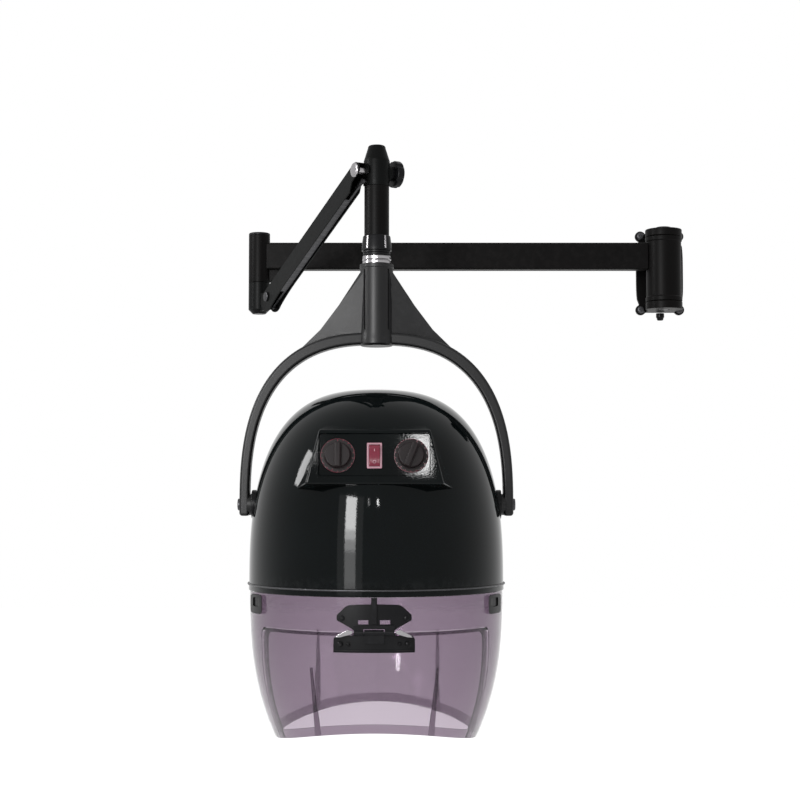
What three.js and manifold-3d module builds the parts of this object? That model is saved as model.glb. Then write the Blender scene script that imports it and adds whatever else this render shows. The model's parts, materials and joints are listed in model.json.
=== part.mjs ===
// A wall-mounted hood hair dryer: a two-section swing arm, a yoke and a tilting hood with a clear visor.
// Millimetres, +Z up, +Y towards the wall. The origin is the middle of the wall plate's back face.
import * as THREE from "three";
import { mergeVertices } from "three/addons/utils/BufferGeometryUtils.js";
import Module from "manifold-3d";

const wasm = await Module();
wasm.setup();

// Clearances
const FIT = 0.3; // between fixed faces that meet
const RUN = 0.5; // between faces that turn or slide past each other
const NUT_WALL = 4; // from a thread to its nut's corners

// Wall bracket
const PLATE_WIDTH = 84;
const PLATE_HEIGHT = 146;
const PLATE_THICKNESS = 8;
const PLATE_LOBE_RADIUS = 9;
const PLATE_WAIST = 3; // how far each side is drawn in between the lobes
const WALL_SCREW_RADIUS = 3;
const WALL_SCREW_HEAD_RADIUS = 6.5;
const WALL_SCREW_HEAD_HEIGHT = 4;
const WALL_SCREW_SLOT_WIDTH = 1.6;
const WALL_SCREW_SLOT_DEPTH = 1.5;
const BARREL_RADIUS = 31;
const BARREL_HEIGHT = 110;
const EAR_THICKNESS = 13;
const EAR_ROOT_WIDTH = 50;
const WALL_TO_AXIS = 50;
const WALL_PIN_RADIUS = 8;
const WALL_PIN_HEAD_RADIUS = 14;
const WALL_PIN_HEAD_HEIGHT = 4;
const WALL_PIN_HEAD_CHAMFER = 3;
const GLAND_RADIUS = 7;
const GLAND_LENGTH = 12;
const GLAND_BORE_RADIUS = 4;

// Main arm
const MAIN_ARM_LENGTH = 690;
const MAIN_ARM_HEIGHT = 46;
const MAIN_ARM_WIDTH = 25;
const MAIN_ARM_WALL = 2.5;
const MAIN_ARM_Z = 22;
const ELBOW_RADIUS = 18;
const ELBOW_BARREL_TOP = 58;
const ELBOW_BARREL_BOTTOM = -23;
const ELBOW_CAP_HEIGHT = 4;

// Elbow knuckle
const KNUCKLE_BOTTOM = -76;
const KNUCKLE_CHAMFER = 7;
const SPINDLE_RADIUS = 9;
const SPINDLE_NUT_HEIGHT = 7;
const TONGUE_THICKNESS = 6;
const ARM_YAW = -60; // degrees at rest, from the line of the main arm towards the wall bracket
const LIFT_PIVOT_REACH = 48;
const LIFT_PIVOT_Z = -52;
const LIFT_PIN_RADIUS = 5;
const LIFT_PIN_HEAD_RADIUS = 8;
const LIFT_PIN_HEAD_HEIGHT = 3;
const HEAD_BOLT_HEAD_RADIUS = 11;

// Lift arm and its levelling link
const LIFT_ARM_LENGTH = 350;
const LIFT_ARM_PITCH = 27; // degrees above level at rest
const LIFT_ARM_WIDTH = 18;
const LIFT_ARM_WALL = 2;
const LIFT_ARM_TOP = 12; // above the line of its pivots
const LIFT_ARM_BOTTOM = 19; // below that line
const LIFT_ARM_BOOT_RADIUS = 25;
const LINK_OFFSET = 16; // from each lift pivot straight down to the link's pivot
const LINK_HEIGHT = 7;
const LINK_THICKNESS = 4;
const LINK_PIN_RADIUS = 2.5;
const PIVOT_LAND = 8.5; // radius of the metal round a lift pivot that has to clear the arm's top

// Head, drop tube and swivel
const DROP_TUBE_RADIUS = 19;
const DROP_TUBE_WALL = 3;
const DROP_TUBE_TOP = -22; // below the upper lift pivot
const DROP_TUBE_BOTTOM = -14; // in the part's frame
const HEAD_TOP = 41; // above the upper lift pivot
const HEAD_TOP_RADIUS = 13;
const HEAD_BOSS_RADIUS = 14;
const HEAD_BOSS_PROUD = 1; // of the casting's side
const SLEEVE_WALL = 3.7;
const SLEEVE_HEIGHT = 23;
const WASHER_THICKNESS = 7;
const COLLAR_PROUD = 3; // of the drop tube's side
const COLLAR_HEIGHT = 13;
const SWIVEL_RADIUS = 9;
const SWIVEL_BUSH_HEIGHT = 18;
const SWIVEL_NUT_HEIGHT = 6;
const KNOB_RADIUS = 22;
const KNOB_THICKNESS = 12;
const KNOB_LOBES = 6;
const KNOB_RIM = 2; // how far the scallops' centres stand outside the wheel
const KNOB_SCALLOP_RADIUS = 5;
const KNOB_NECK_RADIUS = 11;
const KNOB_NECK_LENGTH = 6;

// Hood
const HOOD_WIDTH = 380;
const HOOD_DEPTH = 418;
const HOOD_HEIGHT = 287;
const HOOD_WALL = 3;
const HOOD_RISE_POWER = 2.6; // the profile's superellipse exponents
const HOOD_SIDE_POWER = 2.85;
const TILT_PIVOT_HEIGHT = 115; // above the rim
const RIM_BAND_HEIGHT = 11;
const RIM_BAND_PROUD = 2;
const RIM_FLANGE_WIDTH = 24;
const RIM_FLANGE_THICKNESS = 4;
const DOME_WALL = 2;
const DOME_SLOTS = 10;
const DOME_SLOT_WIDTH = 12;

// Yoke
const YOKE_HEADROOM = 69; // from the hood's crown to the yoke's
const YOKE_HUB_HEIGHT = 123.9;
const YOKE_STRAP = 15;
const YOKE_CROWN = 18;
const YOKE_DEPTH = 28;
const YOKE_WEB_DEPTH = 16;
const YOKE_WEB_SPREAD = 0.62; // of the way from the hub's axis to the strap
const YOKE_WEB_DROP = 12; // of the web's feet below the arch's crown
const YOKE_WEB_SWEEP = 38; // sideways from the hub to the web's bend
const YOKE_WEB_BEND = 22; // of that bend above the arch's crown
const YOKE_WEB_TOP = 8; // below the hub's top
const YOKE_SOCKET_FLOOR = 12; // under the spindle in the hub
const YOKE_HUB_RADIUS = 25;
const YOKE_TAIL = 17; // below the tilt pivots
const YOKE_CURVE = 2.6; // the arch's superellipse exponent
const YOKE_TO_HOOD = 7; // gap from the widest shell at the pivots to the strap
const PAD_RADIUS = 22;
const BOSS_RADIUS = 16;
const PIVOT_SCREW_RADIUS = 5;
const PIVOT_SCREW_HEAD_RADIUS = 9;
const PIVOT_SCREW_HEAD_HEIGHT = 3;
const PIVOT_SCREW_SOCKET_RADIUS = 3;
const PIVOT_SCREW_SOCKET_FLOOR = 1.2;
const TILT_NUT_HEIGHT = 6;
const TILT_NUT_TO_SHELL = 2; // from the nut to the shell, at the screw's axis
const TILT_SCREW_END = 1; // of the screw past its nut

// Visor
const VISOR_DROP = 226; // from the rim to its lowest edge
const VISOR_WALL = 2.5;
const VISOR_TAPER = 38;
const VISOR_INSET = 1.5; // inside the hood's own half-width
const NECK_RISE = 26; // how far the lower edge rises from the sides to the middle
const NECK_HALF_WIDTH = 150;
const FLAP_TOP = 58; // below the rim
const FLAP_SIDE_TOP = 114; // from the hood's axis forward to the flap's side edges, at the rim
const FLAP_SIDE_BOTTOM = 74; // the same at the visor's lowest edge
const FLAP_GAP = 1.2;
const HINGE_THICKNESS = 5;
const HINGE_BARREL_RADIUS = 4;
const HINGE_BARREL_WIDTH = 56;
const HINGE_PIN_RADIUS = 1.6;
const LEAF_WIDTH = 112;
const LEAF_TOP = 63; // below the rim
const LEAF_BOTTOM = 86;
const BRACKET_TOP = 21;
const BRACKET_MIDDLE = 39;
const BRACKET_TOP_WIDTH = 78;
const BRACKET_WIDTH = 103;
const HINGE_SCREW_RADIUS = 4;
const CLIP_WIDTH = 20;
const CLIP_TOP = 14;
const CLIP_BOTTOM = 41;
const CLIP_THICKNESS = 4;
const RIB_WIDTH = 4;
const RIB_SPACING = 192;
const RIB_TOP = 95; // below the rim
const FLAP_RIB_SPACING = 172;
const FLAP_RIB_TOP = 110;

// Control console
const CONSOLE_DROP = 67; // from the hood's crown down to the console
const CONSOLE_HEIGHT = 76;
const CONSOLE_BOTTOM_WIDTH = 210;
const CONSOLE_TOP_WIDTH = 160;
const CONSOLE_WALL = 3;
const CONSOLE_LEAN = 8; // degrees the face leans back
const CONSOLE_PROUD = 1; // of the shell, at the face's lower edge
const CONSOLE_DEPTH = 70;
const CONTROL_HEIGHT = 40; // of the controls above the face's lower edge
const CONTROL_SPACING = 51;
const DIAL_RADIUS = 24;
const DIAL_THICKNESS = 3;
const GRIP_RADIUS = 18;
const GRIP_HEIGHT = 9;
const GRIP_BAR_WIDTH = 9;
const GRIP_BAR_HEIGHT = 15;
const CONTROL_SHAFT_RADIUS = 3;
const CONTROL_BODY_RADIUS = 17;
const CONTROL_BODY_LENGTH = 22;
const SWITCH_WIDTH = 21;
const SWITCH_HEIGHT = 36;
const SWITCH_BEZEL = 2.5;
const SWITCH_PROUD = 2.5;
const SWITCH_LIP = 1;
const SWITCH_BODY_LENGTH = 20;
const ROCKER_REST = 6; // degrees the rocker leans at rest

// Blower
const MOTOR_RADIUS = 36;
const MOTOR_HEIGHT = 46;
const MOUNT_RADIUS = 32;
const MOUNT_HEIGHT = 19;
const MOUNT_BOSS_RADIUS = 12;
const FAN_RADIUS = 70;
const FAN_HEIGHT = 26;
const FAN_BLADES = 8;
const FAN_BLADE_THICKNESS = 2;
const FAN_DISC = 2.5;
const SHAFT_RADIUS = 4;
const FAN_DROP = 8; // from the motor to the fan
const FAN_TO_DOME = 20;
const HEATER_RADIUS = 112;
const HEATER_TUBE_RADIUS = 4.5;
const HEATER_FRAME_WIDTH = 18;
const HEATER_RISE = 19; // of the element over the dome under it

const materials = {
  blackMetal: [0x17181a, 0.5, 0.3],
  castGrey: [0x2d2e30, 0.55, 0.2],
  glossBlack: [0x070a0b, 0.12, 0],
  satinBlack: [0x121214, 0.45, 0],
  steel: [0xc9c9cc, 0.25, 1],
  smokedClear: [0x8f7f95, 0.1, 0],
  redSwitch: [0x9c1f3a, 0.25, 0],
  whiteFrame: [0xd9c9cc, 0.4, 0],
  greyInner: [0x3c3c40, 0.6, 0],
};

const origin = new THREE.Vector3();
const AXES = { x: new THREE.Vector3(1, 0, 0), y: new THREE.Vector3(0, 1, 0), z: new THREE.Vector3(0, 0, 1) };

// A closed geometry as a solid, with its faces turned outwards.
function solid(geometry) {
  const bare = geometry.index ? geometry.toNonIndexed() : geometry.clone();
  bare.deleteAttribute("normal");
  bare.deleteAttribute("uv");
  const merged = mergeVertices(bare, 1e-4);
  const points = merged.attributes.position;
  const corners = [new THREE.Vector3(), new THREE.Vector3(), new THREE.Vector3()];
  const faces = [];
  let volume = 0;
  for (let i = 0; i < merged.index.count; i += 3) {
    const face = [0, 1, 2].map((k) => merged.index.getX(i + k));
    if (new Set(face).size < 3) continue;
    corners.forEach((corner, k) => corner.fromBufferAttribute(points, face[k]));
    volume += corners[0].dot(corners[1].cross(corners[2]));
    faces.push(face);
  }
  if (volume < 0) faces.forEach((face) => face.reverse());
  const triVerts = new Uint32Array(faces.flat());
  return new wasm.Manifold(new wasm.Mesh({ numProp: 3, vertProperties: points.array, triVerts }));
}

function mesh(name, shape, finish, parent) {
  const made = shape.getMesh();
  const geometry = new THREE.BufferGeometry();
  geometry.setAttribute("position", new THREE.BufferAttribute(new Float32Array(made.vertProperties), 3));
  geometry.setIndex(new THREE.BufferAttribute(new Uint32Array(made.triVerts), 1));
  geometry.computeVertexNormals();
  const [color, roughness, metalness] = materials[finish];
  const node = new THREE.Mesh(geometry, new THREE.MeshStandardMaterial({ color, roughness, metalness }));
  node.name = name;
  parent.add(node);
  return node;
}

function group(parent, position, yaw = 0) {
  const made = new THREE.Group();
  made.position.copy(position);
  made.rotation.z = THREE.MathUtils.degToRad(yaw);
  parent.add(made);
  return made;
}

const at = (x, y, z) => new THREE.Vector3(x, y, z);
const radians = THREE.MathUtils.degToRad;

// A box centred at a point.
function block(width, depth, height, centre = origin) {
  return solid(new THREE.BoxGeometry(width, depth, height).translate(centre.x, centre.y, centre.z));
}

// A round bar along x, y or z from start, with its end length further on.
function rod(radius, length, axis = "z", start = origin, sides = 16) {
  const geometry = new THREE.CylinderGeometry(radius, radius, length, sides).translate(0, length / 2, 0);
  geometry.applyQuaternion(new THREE.Quaternion().setFromUnitVectors(AXES.y, AXES[axis]));
  return solid(geometry.translate(start.x, start.y, start.z));
}

// A closed profile of [radius, height] pairs turned about z.
function turned(profile, sides = 20) {
  const points = [...profile, profile[0]].map(([r, z]) => new THREE.Vector2(r, z));
  return solid(new THREE.LatheGeometry(points, sides).rotateX(Math.PI / 2));
}

function tube(outer, inner, bottom, top, sides = 20) {
  return turned([[inner, bottom], [outer, bottom], [outer, top], [inner, top]], sides);
}

// An outline in the x-z plane made solid along y, centred on the plane.
function slab(outline, depth, steps = 10) {
  const shape = outline instanceof THREE.Shape ? outline : new THREE.Shape(outline.map(([x, z]) => new THREE.Vector2(x, z)));
  const geometry = new THREE.ExtrudeGeometry(shape, { depth, bevelEnabled: false, curveSegments: steps });
  return solid(geometry.translate(0, 0, -depth / 2).rotateX(Math.PI / 2));
}

function mirrored(outline) {
  return [...outline, ...outline.map(([x, z]) => [-x, z]).reverse()];
}

const root = new THREE.Group();

// ---- Wall bracket: it stays on the wall.
const wall = group(root, origin);
const wallAxis = at(0, -WALL_TO_AXIS, 0);
const earTop = BARREL_HEIGHT / 2 + RUN;

function wallPlate() {
  const lobeX = PLATE_WIDTH / 2 - PLATE_LOBE_RADIUS;
  const lobeZ = PLATE_HEIGHT / 2 - PLATE_LOBE_RADIUS;
  const centre = at(0, -PLATE_THICKNESS / 2, 0);
  let plate = block(2 * lobeX, PLATE_THICKNESS, PLATE_HEIGHT - 2 * PLATE_WAIST, centre);
  plate = plate.add(block(PLATE_WIDTH - 2 * PLATE_WAIST, PLATE_THICKNESS, 2 * lobeZ, centre));
  for (const sx of [-1, 1]) {
    for (const sz of [-1, 1]) {
      const lobe = at(sx * lobeX, -PLATE_THICKNESS, sz * lobeZ);
      plate = plate.add(rod(PLATE_LOBE_RADIUS, PLATE_THICKNESS, "y", lobe));
      plate = plate.subtract(rod(WALL_SCREW_RADIUS + FIT, 3 * PLATE_THICKNESS, "y", lobe.clone().setY(-2 * PLATE_THICKNESS)));
      const shank = rod(WALL_SCREW_RADIUS, PLATE_THICKNESS, "y", lobe.clone().setY(-PLATE_THICKNESS - FIT), 10);
      const headStart = lobe.clone().setY(-PLATE_THICKNESS - FIT - WALL_SCREW_HEAD_HEIGHT);
      const screw = shank.add(rod(WALL_SCREW_HEAD_RADIUS, WALL_SCREW_HEAD_HEIGHT, "y", headStart, 12));
      const slot = block(WALL_SCREW_SLOT_WIDTH, 2 * WALL_SCREW_SLOT_DEPTH, 2 * WALL_SCREW_HEAD_RADIUS, headStart);
      mesh(`wall_screw_${sz > 0 ? "upper" : "lower"}_${sx > 0 ? "right" : "left"}`, screw.subtract(slot), "steel", wall);
    }
  }
  mesh("wall_plate", plate, "blackMetal", wall);
}

function wallEar(name, side) {
  const middle = side * (earTop + EAR_THICKNESS / 2);
  const back = WALL_TO_AXIS - PLATE_THICKNESS - FIT;
  let ear = rod(BARREL_RADIUS, EAR_THICKNESS, "z", wallAxis.clone().setZ(middle - EAR_THICKNESS / 2), 24);
  ear = ear.add(block(EAR_ROOT_WIDTH, back, EAR_THICKNESS, at(0, -WALL_TO_AXIS + back / 2, middle)));
  ear = ear.subtract(rod(WALL_PIN_RADIUS + FIT, 4 * EAR_THICKNESS, "z", wallAxis.clone().setZ(middle - 2 * EAR_THICKNESS)));
  mesh(name, ear, "blackMetal", wall);
}

function wallPin() {
  const half = earTop + EAR_THICKNESS + FIT;
  const pin = turned([
    [0, -half],
    [WALL_PIN_RADIUS, -half],
    [WALL_PIN_RADIUS, half],
    [WALL_PIN_HEAD_RADIUS, half],
    [WALL_PIN_HEAD_RADIUS - WALL_PIN_HEAD_CHAMFER, half + WALL_PIN_HEAD_HEIGHT],
    [0, half + WALL_PIN_HEAD_HEIGHT],
  ]);
  mesh("wall_pivot_pin", pin.translate(0, -WALL_TO_AXIS, 0), "steel", wall);
}

function cableGland() {
  const top = -PLATE_HEIGHT / 2 + PLATE_WAIST - FIT;
  const gland = tube(GLAND_RADIUS, GLAND_BORE_RADIUS, top - GLAND_LENGTH, top, 16);
  mesh("cable_inlet_gland", gland.translate(0, -PLATE_THICKNESS / 2 - GLAND_RADIUS / 2, 0), "satinBlack", wall);
}

wallPlate();
wallEar("wall_ear_upper", 1);
wallEar("wall_ear_lower", -1);
wallPin();
cableGland();

// ---- Main arm: it swings about the wall pin. Its frame stands on that axis.
const mainArm = group(root, wallAxis);

function mainArmPieces() {
  const barrelHalf = BARREL_HEIGHT / 2;
  mesh("wall_barrel", tube(BARREL_RADIUS, WALL_PIN_RADIUS + RUN, -barrelHalf, barrelHalf, 24), "blackMetal", mainArm);

  const centre = at(-MAIN_ARM_LENGTH / 2, 0, MAIN_ARM_Z);
  let bar = block(MAIN_ARM_LENGTH, MAIN_ARM_WIDTH, MAIN_ARM_HEIGHT, centre);
  const inner = [MAIN_ARM_WIDTH - 2 * MAIN_ARM_WALL, MAIN_ARM_HEIGHT - 2 * MAIN_ARM_WALL];
  bar = bar.subtract(block(MAIN_ARM_LENGTH + 2, inner[0], inner[1], centre));
  bar = bar.subtract(rod(BARREL_RADIUS + FIT, BARREL_HEIGHT, "z", at(0, 0, -barrelHalf), 24));
  const elbowCut = at(-MAIN_ARM_LENGTH, 0, MAIN_ARM_Z - MAIN_ARM_HEIGHT);
  bar = bar.subtract(rod(ELBOW_RADIUS + FIT, 2 * MAIN_ARM_HEIGHT, "z", elbowCut, 24));
  mesh("main_arm_tube", bar, "blackMetal", mainArm);

  const nutSeat = ELBOW_BARREL_TOP - SPINDLE_NUT_HEIGHT - FIT - RUN;
  const barrel = turned([
    [SPINDLE_RADIUS + RUN, ELBOW_BARREL_BOTTOM],
    [ELBOW_RADIUS, ELBOW_BARREL_BOTTOM],
    [ELBOW_RADIUS, ELBOW_BARREL_TOP],
    [SPINDLE_RADIUS + NUT_WALL + RUN, ELBOW_BARREL_TOP],
    [SPINDLE_RADIUS + NUT_WALL + RUN, nutSeat],
    [SPINDLE_RADIUS + RUN, nutSeat],
  ]);
  mesh("elbow_barrel", barrel.translate(-MAIN_ARM_LENGTH, 0, 0), "blackMetal", mainArm);
  const capBottom = ELBOW_BARREL_TOP + FIT;
  const cap = turned([
    [0, capBottom],
    [ELBOW_RADIUS, capBottom],
    [ELBOW_RADIUS, capBottom + ELBOW_CAP_HEIGHT - 1.5],
    [ELBOW_RADIUS - 1.5, capBottom + ELBOW_CAP_HEIGHT],
    [0, capBottom + ELBOW_CAP_HEIGHT],
  ]);
  mesh("elbow_cap", cap.translate(-MAIN_ARM_LENGTH, 0, 0), "satinBlack", mainArm);
}
mainArmPieces();

// ---- Elbow knuckle: it swings about the elbow. Its frame's +X points along the lift arm, +Y along the lift pins.
const elbowPoint = at(-MAIN_ARM_LENGTH, -WALL_TO_AXIS, 0);
const elbow = group(root, elbowPoint, ARM_YAW);
const halfWidth = LIFT_ARM_WIDTH / 2;
const innerHalf = halfWidth - LIFT_ARM_WALL;
const tongueY = -innerHalf + RUN + TONGUE_THICKNESS / 2;
const linkY = innerHalf - 1.5 - LINK_THICKNESS / 2;

// The eye plate that carries a lift pivot at (x, z), with the levelling link's pivot under it.
function pivotTongue(x, z, rootBottom) {
  const end = new THREE.Shape();
  const low = z - LINK_OFFSET;
  end.moveTo(0, rootBottom);
  end.lineTo(x, low - LINK_PIN_RADIUS - 3);
  end.lineTo(x + 5.5, low);
  end.lineTo(x + PIVOT_LAND, z);
  end.absarc(x, z, PIVOT_LAND, 0, Math.PI / 2, false);
  end.lineTo(0, z + PIVOT_LAND);
  let tongue = slab(end, TONGUE_THICKNESS, 6).translate(0, tongueY, 0);
  const through = 3 * LIFT_ARM_WIDTH;
  tongue = tongue.subtract(rod(LIFT_PIN_RADIUS + FIT, through, "y", at(x, -through / 2, z), 16));
  return tongue.subtract(rod(LINK_PIN_RADIUS + FIT, through, "y", at(x, -through / 2, low), 12));
}

function liftPin(centre, length, start, headRadius) {
  const root = LIFT_PIN_HEAD_HEIGHT / 2; // the shank reaches into its head, so the two are one body
  const pin = rod(LIFT_PIN_RADIUS, length + root, "y", at(centre.x, start - root, centre.z), 16);
  const head = at(centre.x, start - LIFT_PIN_HEAD_HEIGHT, centre.z);
  return pin.add(rod(headRadius, LIFT_PIN_HEAD_HEIGHT, "y", head, 16));
}

function elbowPieces() {
  const hubTop = ELBOW_BARREL_BOTTOM - RUN;
  const chamfer = Math.min(KNUCKLE_CHAMFER, ELBOW_RADIUS - SPINDLE_RADIUS - FIT - 1);
  const hub = turned([
    [SPINDLE_RADIUS + FIT, KNUCKLE_BOTTOM],
    [ELBOW_RADIUS - chamfer, KNUCKLE_BOTTOM],
    [ELBOW_RADIUS, KNUCKLE_BOTTOM + chamfer],
    [ELBOW_RADIUS, hubTop],
    [SPINDLE_RADIUS + FIT, hubTop],
  ]);
  const tongue = pivotTongue(LIFT_PIVOT_REACH, LIFT_PIVOT_Z, LIFT_PIVOT_Z - LINK_OFFSET - 5);
  const bore = rod(SPINDLE_RADIUS + FIT, 200, "z", at(0, 0, KNUCKLE_BOTTOM - 20), 24);
  mesh("elbow_knuckle", hub.add(tongue).subtract(bore), "castGrey", elbow);

  const nutSeat = ELBOW_BARREL_TOP - SPINDLE_NUT_HEIGHT - FIT;
  mesh("elbow_spindle", rod(SPINDLE_RADIUS, nutSeat + 5 - KNUCKLE_BOTTOM, "z", at(0, 0, KNUCKLE_BOTTOM), 24), "steel", elbow);
  const nut = rod(SPINDLE_RADIUS + NUT_WALL, SPINDLE_NUT_HEIGHT, "z", at(0, 0, nutSeat), 6);
  const nutBore = rod(SPINDLE_RADIUS + FIT, 20, "z", at(0, 0, nutSeat - 5), 24);
  mesh("elbow_spindle_nut", nut.subtract(nutBore), "steel", elbow);

  const pivot = at(LIFT_PIVOT_REACH, 0, LIFT_PIVOT_Z);
  const lowerPin = liftPin(pivot, LIFT_ARM_WIDTH + 2 * RUN, -halfWidth - RUN, LIFT_PIN_HEAD_RADIUS);
  mesh("lift_arm_lower_pin", lowerPin, "steel", elbow);
  const linkPin = rod(LINK_PIN_RADIUS, 2 * innerHalf - 2 * RUN, "y", at(pivot.x, -innerHalf + RUN, pivot.z - LINK_OFFSET), 12);
  mesh("link_lower_pin", linkPin, "steel", elbow);
}
elbowPieces();

// ---- Lift arm: a channel open below, between the lower and the upper lift pivots. Its frame's +X runs along it.
const pitch = radians(LIFT_ARM_PITCH);
const liftArm = group(elbow, at(LIFT_PIVOT_REACH, 0, LIFT_PIVOT_Z));
liftArm.rotation.y = -pitch;

function liftArmChannel() {
  const end = LIFT_ARM_LENGTH;
  const notch = LINK_OFFSET - LINK_PIN_RADIUS - 4.5; // the upper link pin passes under this
  const side = new THREE.Shape();
  side.moveTo(-PIVOT_LAND, LIFT_ARM_TOP);
  side.quadraticCurveTo(-LIFT_ARM_BOOT_RADIUS, LIFT_ARM_TOP, -LIFT_ARM_BOOT_RADIUS, -3);
  side.absarc(0, 0, LIFT_ARM_BOOT_RADIUS, Math.PI * 1.04, Math.PI * 1.62, false);
  side.quadraticCurveTo(40, -LIFT_ARM_BOTTOM, 80, -LIFT_ARM_BOTTOM);
  side.lineTo(end - 30, -LIFT_ARM_BOTTOM);
  side.lineTo(end - 17, -notch);
  side.lineTo(end, -notch);
  side.absarc(end, LIFT_ARM_TOP - 12, 12, -0.7, Math.PI / 2, false);
  const outer = slab(side, LIFT_ARM_WIDTH, 8);
  const top = LIFT_ARM_TOP - LIFT_ARM_WALL;
  const room = slab([[-60, -60], [end + 60, -60], [end + 60, top], [2, top], [2, 60], [-60, 60]], 2 * innerHalf);
  let channel = outer.subtract(room);
  for (const x of [0, end]) {
    channel = channel.subtract(rod(LIFT_PIN_RADIUS + RUN, 60, "y", at(x, -30, 0), 16));
  }
  mesh("lift_arm_channel", channel, "castGrey", liftArm);
}
liftArmChannel();

// ---- Levelling link: it stays parallel to the lift arm and keeps the head upright.
function levellingLink() {
  const link = group(elbow, at(LIFT_PIVOT_REACH, linkY, LIFT_PIVOT_Z - LINK_OFFSET));
  link.rotation.y = -pitch;
  let bar = block(LIFT_ARM_LENGTH, LINK_THICKNESS, LINK_HEIGHT - 2, at(LIFT_ARM_LENGTH / 2, 0, 0));
  for (const x of [0, LIFT_ARM_LENGTH]) {
    bar = bar.add(rod(LINK_HEIGHT / 2 + 1, LINK_THICKNESS, "y", at(x, -LINK_THICKNESS / 2, 0), 16));
  }
  for (const x of [0, LIFT_ARM_LENGTH]) {
    bar = bar.subtract(rod(LINK_PIN_RADIUS + RUN, 20, "y", at(x, -10, 0), 12));
  }
  mesh("levelling_link", bar, "steel", link);
}
levellingLink();

// ---- Head: it hangs upright from the upper lift pivot. Its frame is parallel to the elbow's.
const collarRadius = DROP_TUBE_RADIUS + COLLAR_PROUD;
const headOffset = halfWidth + RUN + DROP_TUBE_RADIUS;
const headX = LIFT_PIVOT_REACH + LIFT_ARM_LENGTH * Math.cos(pitch);
const headZ = LIFT_PIVOT_Z + LIFT_ARM_LENGTH * Math.sin(pitch);
const head = group(elbow, at(headX, 0, headZ));
const dropPoint = at(headX, headOffset, 0).applyAxisAngle(AXES.z, radians(ARM_YAW)).add(elbowPoint);
const boltEnd = headOffset + DROP_TUBE_RADIUS + HEAD_BOSS_PROUD;

function headPieces() {
  const wide = DROP_TUBE_RADIUS;
  let casting = turned([
    [0, DROP_TUBE_TOP + FIT],
    [wide, DROP_TUBE_TOP + FIT],
    [wide, HEAD_TOP - 22],
    [HEAD_TOP_RADIUS, HEAD_TOP - 3],
    [HEAD_TOP_RADIUS - 3, HEAD_TOP],
    [0, HEAD_TOP],
  ]).translate(0, headOffset, 0);
  casting = casting.add(rod(HEAD_BOSS_RADIUS, boltEnd - headOffset, "y", at(0, headOffset, 0)));
  casting = casting.add(block(16, 16, 22, at(0, halfWidth + RUN + 8, DROP_TUBE_TOP + FIT + 11)));
  casting = casting.subtract(rod(LIFT_PIN_RADIUS + FIT, 200, "y", at(0, -50, 0), 16));
  casting = casting.subtract(rod(LINK_PIN_RADIUS + FIT, 16 + RUN, "y", at(0, 0, -LINK_OFFSET), 12));
  mesh("head_casting", casting, "castGrey", head);

  const boltLength = boltEnd + KNOB_NECK_LENGTH + halfWidth + RUN;
  const bolt = liftPin(origin, boltLength, -halfWidth - RUN, HEAD_BOLT_HEAD_RADIUS);
  mesh("head_pivot_bolt", bolt, "steel", head);
  const pinStart = linkY - LINK_THICKNESS / 2;
  mesh("link_upper_pin", rod(LINK_PIN_RADIUS, 16 - pinStart, "y", at(0, pinStart, -LINK_OFFSET), 12), "steel", head);

  const tubeBottom = DROP_TUBE_BOTTOM - headZ;
  const drop = group(head, at(0, headOffset, 0));
  const bore = DROP_TUBE_RADIUS - DROP_TUBE_WALL;
  mesh("drop_tube", tube(DROP_TUBE_RADIUS, bore, tubeBottom, DROP_TUBE_TOP), "blackMetal", drop);
  const sleeveRadius = DROP_TUBE_RADIUS + FIT + SLEEVE_WALL;
  const sleeve = turned([
    [DROP_TUBE_RADIUS + FIT, tubeBottom],
    [sleeveRadius, tubeBottom],
    [sleeveRadius, tubeBottom + SLEEVE_HEIGHT - 5],
    [DROP_TUBE_RADIUS + 1.5, tubeBottom + SLEEVE_HEIGHT],
    [DROP_TUBE_RADIUS + FIT, tubeBottom + SLEEVE_HEIGHT],
  ]);
  mesh("drop_tube_sleeve", sleeve, "satinBlack", drop);
  const bush = tube(bore - FIT, SWIVEL_RADIUS + RUN, tubeBottom, tubeBottom + SWIVEL_BUSH_HEIGHT);
  mesh("swivel_bush", bush, "steel", drop);
  const washerTop = tubeBottom - FIT;
  mesh("swivel_washer", tube(collarRadius - 1, SWIVEL_RADIUS + RUN, washerTop - WASHER_THICKNESS, washerTop), "satinBlack", drop);
}
headPieces();

// ---- Clamp knob on the head's pivot bolt.
function clampKnob() {
  const knob = group(head, at(0, boltEnd + RUN, 0));
  let body = rod(KNOB_NECK_RADIUS, KNOB_NECK_LENGTH, "y", origin);
  const lobe = radians(360 / KNOB_LOBES);
  let wheel = rod(KNOB_RADIUS - KNOB_RIM, KNOB_THICKNESS, "y", at(0, KNOB_NECK_LENGTH, 0), 24);
  for (let i = 0; i < KNOB_LOBES; i++) {
    const centre = at(Math.sin(i * lobe) * (KNOB_RADIUS + 1), KNOB_NECK_LENGTH - 1, Math.cos(i * lobe) * (KNOB_RADIUS + 1));
    wheel = wheel.subtract(rod(KNOB_SCALLOP_RADIUS, KNOB_THICKNESS + 2, "y", centre, 10));
  }
  body = body.add(wheel).subtract(rod(LIFT_PIN_RADIUS + FIT, KNOB_NECK_LENGTH + RUN, "y", at(0, -1, 0), 16));
  mesh("clamp_knob", body, "satinBlack", knob);
}
clampKnob();

// ---- Hood shape: half-width at a height above the rim, from a superellipse.
const HALF = HOOD_WIDTH / 2;
const stretch = HOOD_DEPTH / HOOD_WIDTH;

function domeRadius(height) {
  return HALF * (1 - (height / HOOD_HEIGHT) ** HOOD_RISE_POWER) ** (1 / HOOD_SIDE_POWER);
}

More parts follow.
